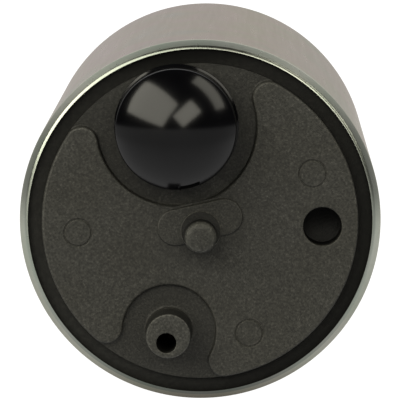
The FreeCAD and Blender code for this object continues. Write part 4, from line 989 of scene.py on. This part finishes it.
bpy.ops.mesh.primitive_circle_add(vertices=96, radius=TABLE_RADIUS, fill_type="NGON",
                                  location=(0, 0, TABLE_HEIGHT))
table = bpy.context.object
table.name = "studio_table"
bpy.ops.object.mode_set(mode="EDIT")
bpy.ops.mesh.inset(thickness=1.0)
bpy.ops.object.mode_set(mode="OBJECT")
bpy.ops.object.transform_apply(location=True)
table_finish = new_finish("white_table", 0.9, Specular_IOR_Level=0.1)
tree = table_finish.node_tree
table_shader = tree.nodes["Principled BSDF"]
table_shader.inputs["Base Color"].default_value = (0.06, 0.06, 0.06, 1.0)
table_shader.inputs["Emission Color"].default_value = (1.0, 1.0, 1.0, 1.0)
place = tree.nodes.new("ShaderNodeTexCoord")
pool = tree.nodes.new("ShaderNodeMapping")
pool.inputs["Location"].default_value = (0.0, -POOL_CENTRE, -TABLE_HEIGHT)
pool.inputs["Scale"].default_value = (POOL_STRETCH, 1.0, 1.0)
distance = tree.nodes.new("ShaderNodeVectorMath")
distance.operation = "LENGTH"
falloff = tree.nodes.new("ShaderNodeMapRange")
falloff.interpolation_type = "SMOOTHSTEP"
for socket, amount in (("From Min", 0.383), ("From Max", 0.46), ("To Min", 1.05), ("To Max", 0.6)):
    falloff.inputs[socket].default_value = amount
tree.links.new(place.outputs["Object"], pool.inputs["Vector"])
tree.links.new(pool.outputs["Vector"], distance.inputs[0])
tree.links.new(distance.outputs["Value"], falloff.inputs["Value"])
tree.links.new(falloff.outputs["Result"], table_shader.inputs["Emission Strength"])
table.data.materials.append(table_finish)
print("the table lies at z =", TABLE_HEIGHT)

# %% [markdown]
# ## The light
# The room is dim above and in front, and pale behind the pump, where the backdrop stands. One very
# wide soft light fills the left side in front of the pump, a smaller one stands to the right, and
# a tall narrow one stands further round on that side. They show as pale patches in the upper half
# of the cap. The picture's tones are plain, with no film curve, so that the table can be pure white
# beside dark metal.

# %% World and lamps
LAMP_COLOUR = (1.0, 0.965, 0.83)
LAMP_DISTANCE = 1.5

bpy.context.scene.view_settings.view_transform = "Standard"
world = bpy.data.worlds.new("studio_room")
bpy.context.scene.world = world
world.use_nodes = True
tree = world.node_tree
background = tree.nodes["Background"]
direction = tree.nodes.new("ShaderNodeTexCoord")
split = tree.nodes.new("ShaderNodeSeparateXYZ")
backdrop = tree.nodes.new("ShaderNodeMapRange")
backdrop.interpolation_type = "SMOOTHSTEP"
for socket, amount in (("From Min", 0.3), ("From Max", 0.8), ("To Min", 0.03), ("To Max", 0.82)):
    backdrop.inputs[socket].default_value = amount
room_tone = tree.nodes.new("ShaderNodeCombineColor")
tree.links.new(direction.outputs["Generated"], split.inputs["Vector"])
tree.links.new(split.outputs["Y"], backdrop.inputs["Value"])
for channel in ("Red", "Green", "Blue"):
    tree.links.new(backdrop.outputs["Result"], room_tone.inputs[channel])
tree.links.new(room_tone.outputs["Color"], background.inputs["Color"])


def add_softbox(name, azimuth, rise, width, height, radiance, roll):
    lamp = bpy.data.lights.new(name, "AREA")
    lamp.shape = "RECTANGLE"
    lamp.size = width
    lamp.size_y = height
    lamp.energy = radiance * math.pi * width * height
    lamp.color = LAMP_COLOUR
    holder = bpy.data.objects.new(name, lamp)
    bpy.context.collection.objects.link(holder)
    level = LAMP_DISTANCE * math.cos(math.radians(rise))
    holder.location = (level * math.sin(math.radians(azimuth)), -level * math.cos(math.radians(azimuth)),
                       LAMP_DISTANCE * math.sin(math.radians(rise)))
    aimed = (-holder.location).to_track_quat("-Z", "Y")
    holder.rotation_euler = (aimed @ Quaternion((0.0, 0.0, 1.0), math.radians(roll))).to_euler()


for name, azimuth, rise, width, height, radiance, roll in (
        ("left_softbox", -44.0, 34.0, 2.0, 1.3, 7.2, -16.0),
        ("right_softbox", 17.5, 22.5, 0.98, 0.60, 7.4, 38.0),
        ("side_strip", 76.0, 45.0, 0.5, 1.3, 4.4, 0.0)):
    add_softbox(name, azimuth, rise, width, height, radiance, roll)
print("lights placed")

# %% [markdown]
# ## The camera
# The photograph was taken from 435 mm away, a little above the axis. The rim's ellipse and the
# size of the far end gave the distance and the angles. The camera looks at a point just above the
# middle of the rim, which puts the rim where it is in the picture.

# %% Camera
CAMERA_DISTANCE = 0.435
CAMERA_RISE = math.radians(6.46)
CAMERA_SIDE = math.radians(0.7)
CAMERA_LENS = 373.0
AIM_RISE = 2.2

rim_middle = Vector((0.0, at(0), 0.0))
sight = Vector((math.sin(CAMERA_SIDE) * math.cos(CAMERA_RISE), -math.cos(CAMERA_SIDE) * math.cos(CAMERA_RISE),
                math.sin(CAMERA_RISE)))
aim = rim_middle + Vector((0.0, 0.0, AIM_RISE * MM))
camera_data = bpy.data.cameras.new("photo_camera")
camera_data.lens = CAMERA_LENS
camera_data.sensor_width = 36.0
camera_data.clip_start = 0.01
camera_data.clip_end = 20.0
camera = bpy.data.objects.new("photo_camera", camera_data)
bpy.context.collection.objects.link(camera)
camera.location = rim_middle + sight * CAMERA_DISTANCE
camera.rotation_euler = (aim - camera.location).to_track_quat("-Z", "Y").to_euler()
bpy.context.scene.camera = camera
print("the camera stands at", [round(value, 4) for value in camera.location])
